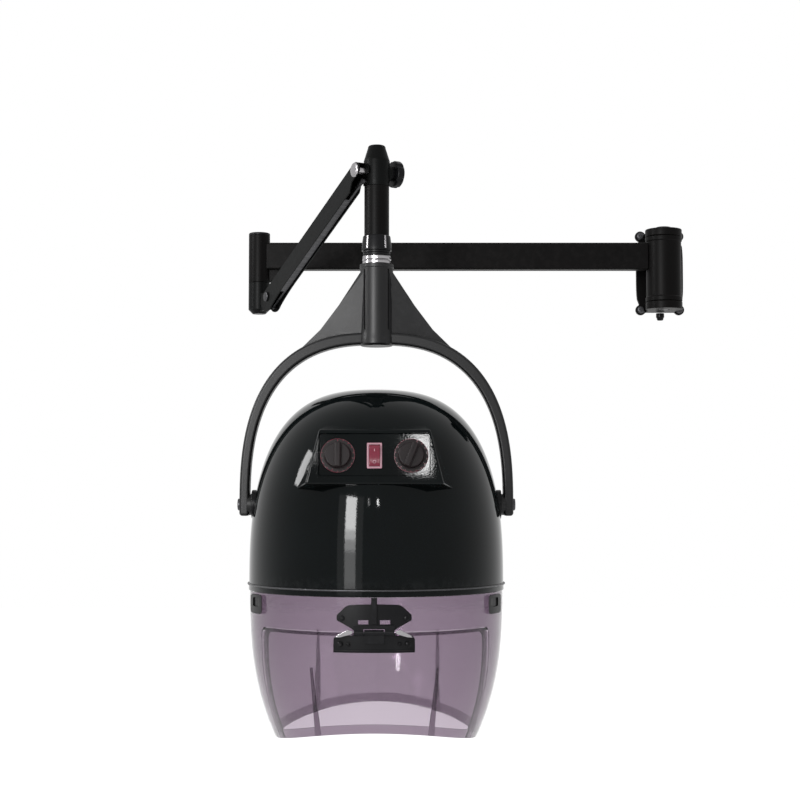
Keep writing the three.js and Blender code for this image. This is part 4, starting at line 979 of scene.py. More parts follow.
def head_casting():
    size = sizes("dryer_arm")
    drop = (HEAD.inverted() @ Vector((DROP_AXIS.x, DROP_AXIS.y, UPPER_PIVOT.z))).y
    radius = half_width("drop_tube")
    low, high = z_range("head_casting")
    foot = low - UPPER_PIVOT.z
    top = high - UPPER_PIVOT.z
    crown = 0.013
    profile = [(0, foot), (radius, foot), (radius, foot + 0.006), (radius + 0.001, foot + 0.008)]
    profile += [(radius + 0.001, top - 0.024), (radius, top - 0.021), (crown + 0.0005, top - 0.004)]
    profile += arc((crown - 0.003, top - 0.0035), 0.0035, 10, 90, 6) + [(0, top)]
    casting = place(lathe(profile), Matrix.Translation((0, drop, 0)))
    boss = 0.014
    weld(casting, rod(boss, (0, drop, 0), (0, drop + 0.020, 0)))
    lug = block((-0.008, size.lift_width / 2 + 0.0005, foot), (0.008, drop, foot + 0.022))
    weld(casting, lug)
    cut(casting, rod(0.0053, (0, -0.05, 0), (0, 0.15, 0)))
    soften(casting, size.casting_edge * 0.8)
    place(casting, HEAD)
    settle(casting, "head_casting", "head", "dark_casting", "head_casting")


def drop_tube():
    low, high = z_range("drop_tube")
    radius = half_width("drop_tube")
    bore = radius - 0.003
    profile = [(bore, low), (radius, low), (radius, high), (bore, high)]
    tube = lathe(profile)
    soften(tube, 0.0006)
    place(tube, DROP)
    settle(tube, "drop_tube", "head", "black_metal", "drop_tube")


def drop_sleeve():
    """A flared sleeve round the tube's foot, with two bright keys in its front."""
    low, high = z_range("drop_tube_sleeve")
    radius = half_width("drop_tube_sleeve")
    inner = half_width("drop_tube") + 0.0002
    foot = low + 0.006
    profile = [(inner, low), (radius, low), (radius, foot), (inner + 0.0018, high - 0.0015), (inner + 0.001, high), (inner, high)]
    sleeve = lathe(profile)
    soften(sleeve, 0.0005, segments=2)
    place(sleeve, DROP)
    settle(sleeve, "drop_tube_sleeve", "head", "satin_plastic", "drop_tube_sleeve")
    key = block((-0.0014, -0.0012, low + 0.002), (0.0014, 0.0012, high - 0.001))
    soften(key, 0.0008, segments=4, angle=30)
    lean = math.atan2(radius - inner - 0.0018, high - foot)
    slope = Matrix.Translation((0, -radius + 0.0012, 0)) @ Matrix.Rotation(-lean * 0.6, 4, "X")
    place(key, slope)
    for label, angle in (("left", -37), ("right", 37)):
        twin = copy_of(key, DROP @ Matrix.Rotation(math.radians(angle), 4, "Z"))
        settle(twin, "sleeve_key_" + label, "head", "bright_steel")
    bpy.data.objects.remove(key)


def swivel_washer():
    low, high = z_range("swivel_washer")
    radius = half_width("swivel_washer")
    bore = 0.0095
    waist = (low + high) / 2
    profile = [(bore, low), (radius, low), (radius, waist - 0.0006), (radius - 0.001, waist), (radius, waist + 0.0006)]
    profile += [(radius, high), (bore, high)]
    washer = lathe(profile)
    soften(washer, 0.0004, segments=2, angle=60)
    place(washer, DROP)
    settle(washer, "swivel_washer", "head", "satin_plastic", "swivel_washer")


def clamp_knob():
    """A scalloped wheel on a neck, turned about the pivot bolt."""
    size = sizes("dryer_arm")
    start = (HEAD.inverted() @ (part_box("clamp_knob")[0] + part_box("clamp_knob")[1]) / 1).y / 2
    neck = 0.011
    neck_length = 0.006
    thick = 0.012
    radius = size.knob_radius
    edge = 0.0028
    profile = [(0, 0), (neck, 0), (neck, neck_length), (radius - edge, neck_length)]
    profile += arc((radius - edge, neck_length + edge), edge, -90, 0, 5)
    profile += arc((radius - edge, neck_length + thick - edge), edge, 0, 90, 5)
    profile += [(radius * 0.55, neck_length + thick), (radius * 0.5, neck_length + thick - 0.0012), (0, neck_length + thick - 0.0012)]
    knob = lathe(profile)
    scallop = rod(0.0055, (0, radius + 0.0032, neck_length - 0.002), (0, radius + 0.0032, neck_length + thick + 0.002), 32)
    cut(knob, ring_of(scallop, size.knob_lobes))
    cut(knob, rod(0.0053, (0, 0, -0.001), (0, 0, neck_length + 0.0005)))
    soften(knob, 0.0006, segments=2, angle=50)
    near = min((HEAD.inverted() @ Vector(v.co)).y for v in frame["nodes"]["clamp_knob"].data.vertices)
    along_y = Matrix.Translation((0, near, 0)) @ Matrix.Rotation(-math.pi / 2, 4, "X")
    place(knob, HEAD @ along_y)
    settle(knob, "clamp_knob", "clamp", "satin_plastic", "clamp_knob")


# ---- Yoke


def superellipse(half_span, rise, power, steps, foot):
    points = [(half_span, foot)]
    for i in range(steps):
        turn = i / steps * math.pi / 2
        points.append((half_span * math.cos(turn) ** (2 / power), rise * math.sin(turn) ** (2 / power)))
    return points


def yoke_strap():
    """The arch over the hood, a flat strap with round edges."""
    size = sizes("dryer_yoke")
    span = half_width("yoke")
    low, high = z_range("yoke")
    foot = low - TILT_AXIS.z
    crown_high = 0.259
    power = 2.6
    steps = 44
    outer = superellipse(span, crown_high, power, steps, foot)
    inner = superellipse(span - size.strap, crown_high - size.crown, power, steps, foot)
    outline = outer + [(0, crown_high)] + [(-x, z) for x, z in reversed(outer)]
    outline += inner_return(inner, crown_high - size.crown)
    strap = slab(outline, -size.depth / 2, size.depth / 2)
    soften(strap, size.edge, segments=4, angle=40)
    return strap


def inner_return(inner, top):
    """The arch's inner line from its left foot over the top to its right foot."""
    return [(-x, z) for x, z in inner] + [(0, top)] + list(reversed(inner))


def yoke_web(side):
    """A wing from the hub down to the arch, thick at the hub and thin along its edge."""
    size = sizes("dryer_yoke")
    hub = 0.025
    outline = [(0, 0.349), (hub, 0.349), (0.058, 0.300), (0.085, 0.264), (0.112, 0.2375)]
    outline += [(0.090, 0.236), (0.050, 0.2435), (0, 0.2435)]
    web = slab([(side * x, z) for x, z in outline], -size.web_root / 2, size.web_root / 2)
    return nudge(web, lambda p: abs(p.x) > hub + 0.001, factors=(1, size.web_edge / size.web_root, 1))


def yoke_hub():
    """The socket above the arch, with grooves down its sides and a flared foot."""
    low, high = z_range("yoke")
    top = high - TILT_AXIS.z
    radius = 0.025
    foot = 0.239
    flare = 0.002
    profile = [(0, foot), (radius - 0.002, foot), (radius + flare, foot + 0.003), (radius + flare, foot + 0.012)]
    profile += [(radius, foot + 0.022), (radius, top - 0.006), (radius + 0.0008, top - 0.005), (radius + 0.0008, top), (0, top)]
    hub = lathe(profile)
    groove = sizes("dryer_yoke").groove
    for angle in (-45, 45, 135, 225):
        slot = block((-groove / 2, -radius - 0.01, foot + 0.024), (groove / 2, -radius + 0.0016, top - 0.008))
        cut(hub, place(slot, Matrix.Rotation(math.radians(angle), 4, "Z")))
    return hub


def yoke_piece():
    body = yoke_strap()
    for side in (-1, 1):
        weld(body, yoke_web(side))
    weld(body, yoke_hub())
    swivel_bore = 0.0093
    low, high = z_range("yoke")
    top = high - TILT_AXIS.z
    cut(body, rod(swivel_bore, (0, 0, 0.251), (0, 0, top + 0.01)))
    boss = 0.016
    inner = half_width("yoke") - sizes("dryer_yoke").strap
    boss_face = half_width("yoke") - 0.0177
    screw_bore = 0.0053
    for side in (-1, 1):
        weld(body, rod(boss, (side * boss_face, 0, 0), (side * (inner + 0.003), 0, 0)))
        cut(body, rod(screw_bore, (side * 0.15, 0, 0), (side * 0.25, 0, 0)))
    soften(body, 0.0009, segments=2, angle=50)
    place(body, YOKE)
    settle(body, "yoke", "yoke", "grey_casting", "yoke")


def swivel_collar():
    """The turned collar between the drop tube and the yoke, with a groove and two rounded bands."""
    low, high = z_range("swivel_collar")
    radius = half_width("swivel_collar")
    bore = 0.0093
    waist = low + (high - low) * 0.42
    profile = [(bore, low), (radius - 0.001, low), (radius, low + 0.001), (radius, waist - 0.0012)]
    profile += [(radius - 0.0012, waist), (radius - 0.0012, waist + 0.0006), (radius, waist + 0.0018)]
    profile += [(radius, high - 0.0014), (radius - 0.0014, high), (bore, high)]
    collar = place(lathe(profile, steps=128), DROP)
    settle(collar, "swivel_collar", "yoke", "bright_steel", "swivel_collar")


def tilt_screws():
    """A button-head screw with a hexagon socket through each end of the yoke."""
    shank = 0.005
    head = 0.009
    low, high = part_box("tilt_screw_right")
    seat = high.x - DROP_AXIS.x - 0.003
    tip = low.x - DROP_AXIS.x
    profile = [(0, tip), (shank - 0.0008, tip), (shank, tip + 0.0008), (shank, seat), (head, seat), (head, seat + 0.001)]
    profile += arc((head - 0.002, seat + 0.001), 0.002, 0, 90, 6) + [(0, seat + 0.003)]
    master = lathe(profile, steps=64)
    cut(master, rod(0.003, (0, 0, seat + 0.0012), (0, 0, seat + 0.01), 6))
    to_right = Matrix.Rotation(math.pi / 2, 4, "Y")
    for label, turn in (("right", 0), ("left", math.pi)):
        screw = copy_of(master, YOKE @ Matrix.Rotation(turn, 4, "Z") @ to_right)
        node = "tilt_screw_" + label
        settle(screw, node, "yoke", "dark_steel", node)
    bpy.data.objects.remove(master)


# ---- Hood


def stretch():
    size = sizes("dryer_hood")
    return Matrix.Diagonal((1, size.depth / size.width, 1, 1))


def dome_points(inset, steps):
    """The hood's outline from the rim to the crown, moved in by inset."""
    size = sizes("dryer_hood")
    points = []
    for i in range(steps + 1):
        turn = i / steps * math.pi / 2
        radius = (size.width / 2 - inset) * max(0, math.cos(turn)) ** (2 / size.side_power)
        points.append((0 if i == steps else radius, (size.height - inset) * math.sin(turn) ** (2 / size.rise_power)))
    return points


def dome_cutter(grow):
    """The space inside the hood's outline, to trim what sits on the shell."""
    size = sizes("dryer_hood")
    points = dome_points(-grow, 40)
    body = lathe([(0, -0.06), (size.width / 2 + grow, -0.06)] + points, steps=128)
    return place(body, stretch())


def hood_shell():
    size = sizes("dryer_hood")
    outer = dome_points(0, 56)
    inner = list(reversed(dome_points(size.wall, 40)))
    shell = lathe(outer + inner, steps=160)
    place(shell, stretch())
    centre = HOOD.inverted() @ FACE.translation
    window = (0.076, 0.025)
    cut(shell, block((-window[0], -0.25, centre.z - window[1]), (window[0], -0.06, centre.z + window[1])))
    bore = 0.0055
    cut(shell, rod(bore, (-size.width, 0, TILT_HEIGHT), (size.width, 0, TILT_HEIGHT)))
    place(shell, HOOD)
    settle(shell, "hood_shell", "hood", "gloss_shell", "hood_shell")


def rim_ring():
    """The ring under the shell that carries the dome and the visor, and the pale trim line round it."""
    size = sizes("dryer_hood")
    half = size.width / 2
    band = half + 0.0005
    low = -0.011
    foot = low + 0.004
    flange = half - 0.024
    inner = half - 0.0085
    edge = 0.0012
    profile = [(flange, low), (band - edge, low)] + arc((band - edge, low + edge), edge, -90, 0, 4)
    profile += [(band, -0.0034), (band - 0.0008, -0.0032), (band - 0.0008, -0.0003)]
    profile += [(inner, -0.0003), (inner, foot), (flange, foot)]
    ring = place(lathe(profile, steps=160), HOOD @ stretch())
    settle(ring, "rim_ring", "hood", "gloss_shell", "rim_ring")
    lip = half + 0.002
    profile = [(band - 0.0008, -0.0031), (lip - 0.0006, -0.0031)]
    profile += arc((lip - 0.0008, -0.0017), 0.0013, -80, 80, 8) + [(band - 0.0008, -0.0003)]
    trim = place(lathe(profile, steps=160), HOOD @ stretch())
    settle(trim, "rim_trim", "hood", "dark_steel")


def diffuser_dome():
    """The inner dome that spreads the warm air, with its slots."""
    low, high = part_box("diffuser_dome")
    size = sizes("dryer_hood")
    radius = half_width("diffuser_dome")
    foot = low.z - HOOD.translation.z
    rise = high.z - HOOD.translation.z
    wall = 0.002
    steps = 28
    outer = []
    inner = []
    for i in range(steps + 1):
        turn = i / steps * math.pi / 2
        last = i == steps
        outer.append((0 if last else radius * math.cos(turn), rise * math.sin(turn)))
        inner.append((0 if last else (radius - wall) * math.cos(turn), (rise - wall) * math.sin(turn)))
    dome = lathe([(radius, foot)] + outer + list(reversed(inner)) + [(radius - wall, foot)], steps=120)
    edit(dome)
    close_up()
    place(dome, stretch())
    slot = block((0.055, -0.0055, 0.05), (0.115, 0.0055, rise + 0.05))
    soften(slot, 0.005, segments=5)
    cut(dome, ring_of(slot, 10))
    place(dome, HOOD)
    settle(dome, "diffuser_dome", "hood", "grey_plastic", "diffuser_dome")


def tilt_pads():
    """Round pads between the hood's sides and the yoke's ends."""
    low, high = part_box("tilt_pad_right")
    radius = (high.z - low.z) / 2
    face = high.x - DROP_AXIS.x
    edge = 0.0015
    back = face - 0.03
    profile = [(0.0055, back), (radius, back), (radius, face - edge)]
    profile += arc((radius - edge, face - edge), edge, 0, 90, 5)
    profile += [(radius - 0.005, face), (radius - 0.006, face - 0.0006), (0.0055, face - 0.0006)]
    to_right = Matrix.Translation((0, 0, TILT_HEIGHT)) @ Matrix.Rotation(math.pi / 2, 4, "Y")
    pad = place(lathe(profile, steps=96), to_right)
    cut(pad, dome_cutter(0.0002))
    for label, turn in (("right", 0), ("left", math.pi)):
        node = "tilt_pad_" + label
        twin = copy_of(pad, HOOD @ Matrix.Rotation(turn, 4, "Z"))
        settle(twin, node, "hood", "satin_plastic", node)
    bpy.data.objects.remove(pad)


# ---- Control console. Its own frame has x across, y up the face and z out of it.


def face_plate(outline, back, front):
    """An outline of (x, y) points extruded along the face's z."""
    piece = draw_line([(x, y, back) for x, y in outline], closed=True)
    bpy.ops.mesh.edge_face_add()
    bpy.ops.mesh.extrude_region_move(TRANSFORM_OT_translate={"value": (0, 0, front - back)})
    close_up()
    return piece


def rounded_box(half_x, half_y, radius, centre_y=0.0, steps=6):
    points = []
    for x, y, start in ((1, 1, 0), (-1, 1, 90), (-1, -1, 180), (1, -1, 270)):
        centre = (x * (half_x - radius), centre_y + y * (half_y - radius))
        points += arc(centre, radius, start, start + 90, steps)
    return points


def control_console():
    """A leaning block on the hood's front, with flanks that spread to the shell and a sunk insert."""
    size = sizes("dryer_hood")
    foot = -0.040
    top = 0.0367
    wide = 0.096
    narrow = 0.078
    back = -0.058
    outline = [(wide, foot), (narrow, top), (-narrow, top), (-wide, foot)]
    body = face_plate(outline, back, size.border)
    for side in (-1, 1):
        nudge(body, lambda p: p.z < 0 and p.y < 0 and p.x * side > 0, (side * 0.020, -0.001, 0))
        nudge(body, lambda p: p.z < 0 and p.y > 0 and p.x * side > 0, (-side * 0.0105, 0.019, 0))
    soften(body, 0.003, segments=5, angle=20)
    hollow = [(wide - 0.005, foot + 0.004), (narrow - 0.007, top - 0.003)]
    cut(body, face_plate(hollow + [(-x, y) for x, y in reversed(hollow)], -0.08, -0.003))
    insert = rounded_box(size.insert_width / 2, size.insert_height / 2, 0.003, 0.0015)
    recess = face_plate(insert, 0, 0.02)
    flare = 0.012
    for side in (-1, 1):
        nudge(recess, lambda p: p.z > 0.01 and p.x * side > 0, (side * flare, 0, 0))
        nudge(recess, lambda p: p.z > 0.01 and (p.y - 0.0015) * side > 0, (0, side * flare, 0))
    cut(body, recess)
    spacing = joint_point("temperature_turn").x - FACE.translation.x
    for side in (-1, 1):
        cut(body, rod(0.0045, (side * spacing, 0, -0.03), (side * spacing, 0, 0.01)))
    cut(body, block((-0.0098, -0.0173, -0.03), (0.0098, 0.0173, 0.01)))
    place(body, HOOD.inverted() @ FACE)
    cut(body, dome_cutter(0.0001))
    place(body, HOOD)
    settle(body, "control_console", "hood", "gloss_shell", "control_console")


def dial_master():
    """One control knob: a thin skirt, a ribbed grip with a bar across it, and its shaft."""
    size = sizes("dryer_hood")
    skirt = size.dial_radius
    base = 0.0005
    step = base + 0.003
    grip = 0.018
    top = step + 0.009
    shaft = 0.003
    foot = -0.0103
    profile = [(0, foot), (shaft, foot), (shaft, base), (skirt - 0.0006, base), (skirt, base + 0.0006)]
    profile += arc((skirt - 0.0012, step - 0.0012), 0.0012, 0, 90, 4) + [(grip + 0.0008, step), (grip, step + 0.0008)]
    profile += [(grip - 0.0006, top - 0.0012)] + arc((grip - 0.0018, top - 0.0012), 0.0012, 0, 90, 4) + [(0, top)]
    knob = lathe(profile, steps=96)
    flute = rod(0.0007, (0, grip + 0.0002, step + 0.0012), (0, grip - 0.0002, top + 0.001), 12)
    cut(knob, ring_of(flute, 40))
    bar_top = step + 0.015
    bar = block((-0.0045, -0.0175, step + 0.001), (0.0045, 0.0175, bar_top))
    soften(bar, 0.0018, segments=4)
    weld(knob, bar)
    cut(knob, block((-0.0007, 0.004, bar_top - 0.0007), (0.0007, 0.0168, bar_top + 0.001)))
    return knob


def dial_marks():
    """Marks round the skirt, from the long zero mark at the top."""
    size = sizes("dryer_hood")
    outer = size.dial_radius - 0.0009
    base = 0.0034
    marks = []
    for i in range(size.dial_marks):
        reach = 0.0032 if i % 5 == 0 else 0.0018
        mark = block((-0.0004, outer - reach, base), (0.0004, outer, base + 0.00025))
        marks.append(place(mark, Matrix.Rotation(math.radians(-i * 300 / size.dial_marks), 4, "Z")))
    ring = lathe([(outer + 0.0002, base), (outer + 0.0006, base), (outer + 0.0006, base + 0.0002), (outer + 0.0002, base + 0.0002)])
    return gather(ring, *marks)


def dials():
    knob = dial_master()
    marks = dial_marks()
    for label, joint, turn in (("timer", "timer_turn", 0), ("temperature", "temperature_turn", -22)):
        centre = joint_point(joint) - FACE.translation
        at = Matrix.Translation(centre) @ FACE @ Matrix.Rotation(math.radians(turn), 4, "Z")
        settle(copy_of(knob, at), label + "_knob", label, "knob_plastic", label + "_knob")
        settle(copy_of(marks, at), label + "_marks", label, "red_plastic")
    for used in (knob, marks):
        bpy.data.objects.remove(used)


def power_switch():
    """A pale frame round a red rocker that is dished along its length."""
    half = (0.0105, 0.018)
    proud = 0.0028
    opening = (half[0] - 0.0025, half[1] - 0.0025)
    frame_piece = face_plate(rounded_box(half[0], half[1], 0.0015), 0.0003, proud)
    soften(frame_piece, 0.0007, segments=3, angle=50)
    neck = (half[0] - 0.001, half[1] - 0.001)
    weld(frame_piece, block((-neck[0], -neck[1], -0.019), (neck[0], neck[1], 0.001)))
    cut(frame_piece, block((-opening[0], -opening[1], -0.009), (opening[0], opening[1], 0.01)))
    place(frame_piece, FACE)
    settle(frame_piece, "switch_frame", "hood", "pale_plastic", "switch_frame")

    rocker_half = (opening[0] - 0.0005, opening[1] - 0.001)
    rocker = block((-rocker_half[0], -rocker_half[1], -0.002), (rocker_half[0], rocker_half[1], 0.005))
    soften(rocker, 0.0006, segments=3)
    dish = 0.060
    cut(rocker, rod(dish, (-0.02, 0, dish + 0.0042), (0.02, 0, dish + 0.0042), 360))
    lean = Matrix.Rotation(math.radians(6), 4, "X")
    place(rocker, FACE @ lean)
    settle(rocker, "power_rocker", "rocker", "red_plastic", "power_rocker")
    bar = block((-0.0005, 0.0062, 0.0040), (0.0005, 0.0108, 0.0050))
    ring = lathe([(0.0016, 0.0040), (0.0025, 0.0040), (0.0025, 0.0050), (0.0016, 0.0050)], steps=40)
    place(ring, Matrix.Translation((0, -0.0085, 0)))
    marks = place(gather(bar, ring), FACE @ lean)
    settle(marks, "rocker_marks", "rocker", "pale_plastic")


# ---- Visor


def visor_radius(drop):
    size = sizes("dryer_visor")
    top = 0.011
    full = sizes("dryer_hood").width / 2 - size.inset
    part = max(0, (drop - top) / (size.drop - top))
    return full - size.taper * part ** 2.6


def visor_band(inside, outside, start, end, steps=24, turns=160):
    """A band of the visor's own curve, between two distances out of it."""
    drops = [start + (end - start) * i / steps for i in range(steps + 1)]
    outer = [(visor_radius(drop) + outside, -drop) for drop in drops]
    inner = [(visor_radius(drop) + inside, -drop) for drop in reversed(drops)]
    return place(lathe(outer + inner, steps=turns), stretch())


def neck_rod(shorter=0.0):
    """The round cutter that raises the visor's lower edge towards the middle."""
    size = sizes("dryer_visor")
    half = 0.150
    radius = (half ** 2 + size.neck_rise ** 2) / (2 * size.neck_rise)
    height = -size.drop + size.neck_rise - radius
    return rod(radius + shorter, (0, -0.5, height), (0, 0.5, height), 400)


def front_room(gap):
    """The room in front of the flap's side edges and under its top edge."""
    size = sizes("dryer_visor")
    side_top = 0.114
    side_foot = 0.074
    lean = (side_top - side_foot) / size.drop
    top = -size.flap_top - gap
    far = 0.5

    def edge(z):
        return side_top + gap + z * lean

    corner = size.flap_corner
    outline = [(edge(-far), -far)]
    outline += arc((edge(top - corner) + corner, top - corner), corner, 180, 90, 8)
    outline += [(far, top), (far, -far)]
    room = slab(outline, -0.5, 0.5)
    return place(room, Matrix.Rotation(-math.pi / 2, 4, "Z"))


def visor_rib(x_top, x_foot, start, front, thick):
    """A rib inside the visor that widens from its top to its foot."""
    size = sizes("dryer_visor")
    wide = size.rib / 2
    narrow = 0.0019
    foot = -size.drop - 0.01
    outline = [(x_top - narrow, -start), (x_top + narrow, -start), (x_foot + wide, foot), (x_foot - wide, foot)]
    near, far = (-0.3, -0.02) if front else (0.02, 0.3)
    rib = slab(outline, near, far)
    return cross(visor_band(-size.wall - thick, -0.001, start, size.drop, 12, 96), rib)


def visor_lip():
    """The thicker band along the visor's lower edge."""
    size = sizes("dryer_visor")
    lip = visor_band(-size.wall - 0.0022, -0.001, size.drop - 0.055, size.drop, 12, 128)
    return cross(lip, neck_rod(size.lip))


def visor_skirt():
    size = sizes("dryer_visor")
    skirt = visor_band(-size.wall, 0, 0.0113, size.drop)
    for side in (-1, 1):
        weld(skirt, visor_rib(side * 0.096, side * 0.094, 0.086, False, 0.0034))
    weld(skirt, visor_seam())
    weld(skirt, visor_lip())
    cut(skirt, front_room(0), neck_rod())
    place(skirt, HOOD)
    settle(skirt, "visor_skirt", "hood", "smoked_plastic", "visor_skirt")


def visor_seam():
    """The faint moulding seam down the middle of the visor's back."""
    size = sizes("dryer_visor")
    line = slab([(-0.0006, -0.075), (0.0006, -0.075), (0.0006, -size.drop), (-0.0006, -size.drop)], 0.02, 0.3)
    return cross(visor_band(-size.wall - 0.0012, -0.001, 0.075, size.drop, 12, 96), line)


def visor_flap():
    size = sizes("dryer_visor")
    gap = 0.0012
    flap = visor_band(-size.wall, 0, size.flap_top + gap, size.drop)
    cross(flap, front_room(gap))
    bead = visor_band(-size.wall - 0.0045, -0.001, size.flap_top + gap, size.drop)
    cross(bead, front_room(gap))
    cut(bead, front_room(gap + 0.0048))
    weld(flap, bead)
    weld(flap, cross(visor_lip(), front_room(gap)))
    for side in (-1, 1):
        weld(flap, visor_rib(side * 0.0875, side * 0.0755, 0.110, True, 0.0040))
    cut(flap, neck_rod())
    place(flap, HOOD)
    settle(flap, "visor_flap", "flap", "smoked_plastic", "visor_flap")


def wrapped(outline, inside, outside, start, end, back=-0.08):
    """A flat outline seen from the front, taken out of a band on the visor's front."""
    front = slab(outline, -0.3, back)
    return cross(visor_band(inside, outside, start, end, 8, 320), front)


def rivet(x, z, radius, proud):
    """A domed rivet head on the visor's front, at x either side."""
    size = sizes("dryer_hood")
    full = size.width / 2 - sizes("dryer_visor").inset + 0.005
    y = -size.depth / size.width * math.sqrt(full ** 2 - x ** 2)
    profile = [(0, -0.003), (radius, -0.003), (radius, 0.0006)] + arc((radius - 0.001, 0.0006), 0.001, 0, 90, 4)
    profile += [(radius * 0.5, proud), (radius * 0.42, proud - 0.0007), (0, proud - 0.0007)]
    head = lathe(profile, steps=48)
    turn = math.asin(x / full)
    at = Matrix.Translation((x, y, z)) @ Matrix.Rotation(turn, 4, "Z") @ Matrix.Rotation(math.pi / 2, 4, "X")
    return place(head, at)


def hinge_line():
    point = HOOD.inverted() @ joint_point("visor_open")
    return point.y, point.z


def hinge_bracket():
    """The upper half of the hinge: a plate with pointed ends, a stem up to the rim and two barrels."""
    y, z = hinge_line()
    barrel = 0.004
    half = 0.028
    middle = half / 2 + 0.0005
    outline = [(0.004, -0.0113), (0.004, -0.020), (0.034, -0.021), (0.040, -0.024), (0.0515, -0.035)]
    outline += [(0.0515, -0.042), (0.044, -0.046), (half + 0.004, z + 0.006), (half, z + 0.003)]
    plate = wrapped(mirrored(outline), 0.0003, 0.005, 0.0113, 0.058)
    for side in (-1, 1):
        low = min(side * 0.008, side * 0.022)
        cut(plate, block((low, -0.3, -0.0475), (low + 0.014, -0.1, -0.0415)))
    weld(plate, block((-half, y - 0.0022, z), (half, y + 0.0022, z + 0.010)))
    weld(plate, slab(mirrored([(0.0035, -0.0125), (0.0035, z + 0.012)]), y - 0.0045, y + 0.0035))
    cut(plate, block((-middle, y - 0.015, z - 0.005), (middle, y + 0.015, z + 0.005)))
    for start, end in ((-half, -middle), (middle, half)):
        weld(plate, rod(barrel, (start, y, z), (end, y, z), 48))
    cut(plate, rod(0.0019, (-0.1, y, z), (0.1, y, z), 24))
    for x in (-0.0445, 0.0445):
        weld(plate, rivet(x, -0.039, 0.004, 0.0022))
    place(plate, HOOD)
    settle(plate, "hinge_bracket", "hood", "satin_plastic", "hinge_bracket")


def hinge_leaf():
    """The lower half of the hinge, on the flap: a rounded plate, a raised tongue and the middle barrel."""
    y, z = hinge_line()
    barrel = 0.004
    middle = 0.0135
    top = -0.063
    foot = -0.086
    half = 0.056
    corner = 0.004
    outline = arc((half - corner, foot + corner), corner, -90, 0, 5)
    outline += arc((half - 0.007, top - 0.007), 0.007, 0, 90, 6)
    outline += [(0.030, top), (0.0265, top + 0.0045)]
    leaf = wrapped(mirrored(outline), 0.0003, 0.005, -top - 0.0046, -foot)
    rim = wrapped([(-half, foot), (half, foot), (half, foot + 0.003), (-half, foot + 0.003)], 0.0045, 0.0062, -foot - 0.003, -foot)
    weld(leaf, rim)
    weld(leaf, slab(mirrored([(middle, top - 0.010), (middle, z)]), y - 0.002, y + 0.002))
    weld(leaf, rod(barrel, (-middle, y, z), (middle, y, z), 48))
    cut(leaf, rod(0.0019, (-0.1, y, z), (0.1, y, z), 24))
    for x in (-0.047, -0.036, 0.036, 0.047):
        outer = abs(x) > 0.04
        weld(leaf, rivet(x, (top + foot) / 2, 0.004 if outer else 0.0026, 0.0024 if outer else 0.0012))
    place(leaf, HOOD)
    settle(leaf, "hinge_leaf", "flap", "satin_plastic", "hinge_leaf")


def hinge_pin():
    y, z = hinge_line()
    radius = 0.0016
    half = 0.028
    profile = [(0, -half), (radius - 0.0003, -half), (radius, -half + 0.0003), (radius, half - 0.0003), (radius - 0.0003, half), (0, half)]
    pin = lathe(profile, steps=32)
    place(pin, HOOD @ Matrix.Translation((0, y, z)) @ Matrix.Rotation(math.pi / 2, 4, "Y"))
    settle(pin, "hinge_pin", "hood", "dark_steel", "hinge_pin")


def hinge_springs():
    """The two flat springs beside the hinge that hold the flap where it is put."""
    y, z = hinge_line()
    for label, side in (("left", -1), ("right", 1)):
        outline = [(0.029, z + 0.002), (0.036, z + 0.004), (0.050, z - 0.003), (0.053, z - 0.0065), (0.046, z - 0.006), (0.031, z - 0.002)]
        spring = slab([(side * x, height) for x, height in outline], y - 0.001, y + 0.001)
        soften(spring, 0.0005, segments=2)
        settle(place(spring, HOOD), "hinge_spring_" + label, "hood", "bright_steel")


def visor_clips():
    """A hooked clip at each end of the visor's top, with a pressed hollow in its middle."""
    for label, side in (("left", -1), ("right", 1)):
        node = "visor_clip_" + label
        low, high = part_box(node)
        centre = (low.x + high.x) / 2 - DROP_AXIS.x
        half = (high.x - low.x) / 2
        foot = low.z - HOOD.translation.z
        top = high.z - HOOD.translation.z
        middle = (foot + top) / 2
        shape = rounded_box(half, (top - foot) / 2, 0.004)
        clip = wrapped([(centre + x, middle + z) for x, z in shape], 0.0003, 0.004, -top - 0.001, -foot + 0.001, -0.005)
        inner = rounded_box(half * 0.5, (top - foot) * 0.24, 0.002)
        hollow = wrapped([(centre + x, middle + 0.003 + z) for x, z in inner], 0.0022, 0.01, -top - 0.001, -foot + 0.001, -0.005)
        cut(clip, hollow)
        settle(place(clip, HOOD), node, "hood", "satin_plastic", node)


# ---- Operators


def run(context, *makers):
    """Runs the makers and says that the operator has finished."""
    for maker in makers:
        maker()
    return {"FINISHED"}


class DRYER_OT_wall_bracket(bpy.types.Operator):
    """Model the wall plate, its ears, pin, screws and cable gland"""

    bl_idname = "dryer.wall_bracket"
    bl_label = "Wall bracket"

    def execute(self, context):
        wall_plate()
        wall_ear("wall_ear_upper", 1)
        wall_ear("wall_ear_lower", -1)
        return run(context, wall_pin, wall_screws, cable_gland)


class DRYER_OT_main_arm(bpy.types.Operator):
    """Model the main arm with its wall barrel and its elbow barrel"""

    bl_idname = "dryer.main_arm"
    bl_label = "Main arm"

    def execute(self, context):
        return run(context, wall_barrel, main_arm_tube, elbow_barrel, elbow_gusset)


class DRYER_OT_elbow(bpy.types.Operator):
    """Model the elbow knuckle, its spindle and the lower pivot pin"""

    bl_idname = "dryer.elbow"
    bl_label = "Elbow"

    def execute(self, context):
        run(context, elbow_knuckle, elbow_spindle)
        low_pin = ("lift_arm_lower_pin", "elbow", "dark_steel", LIFT_LEVEL)
        pivot_pin(*low_pin, 0.005, 0.008, 0.003, -0.0125, 0.0095)
        return {"FINISHED"}


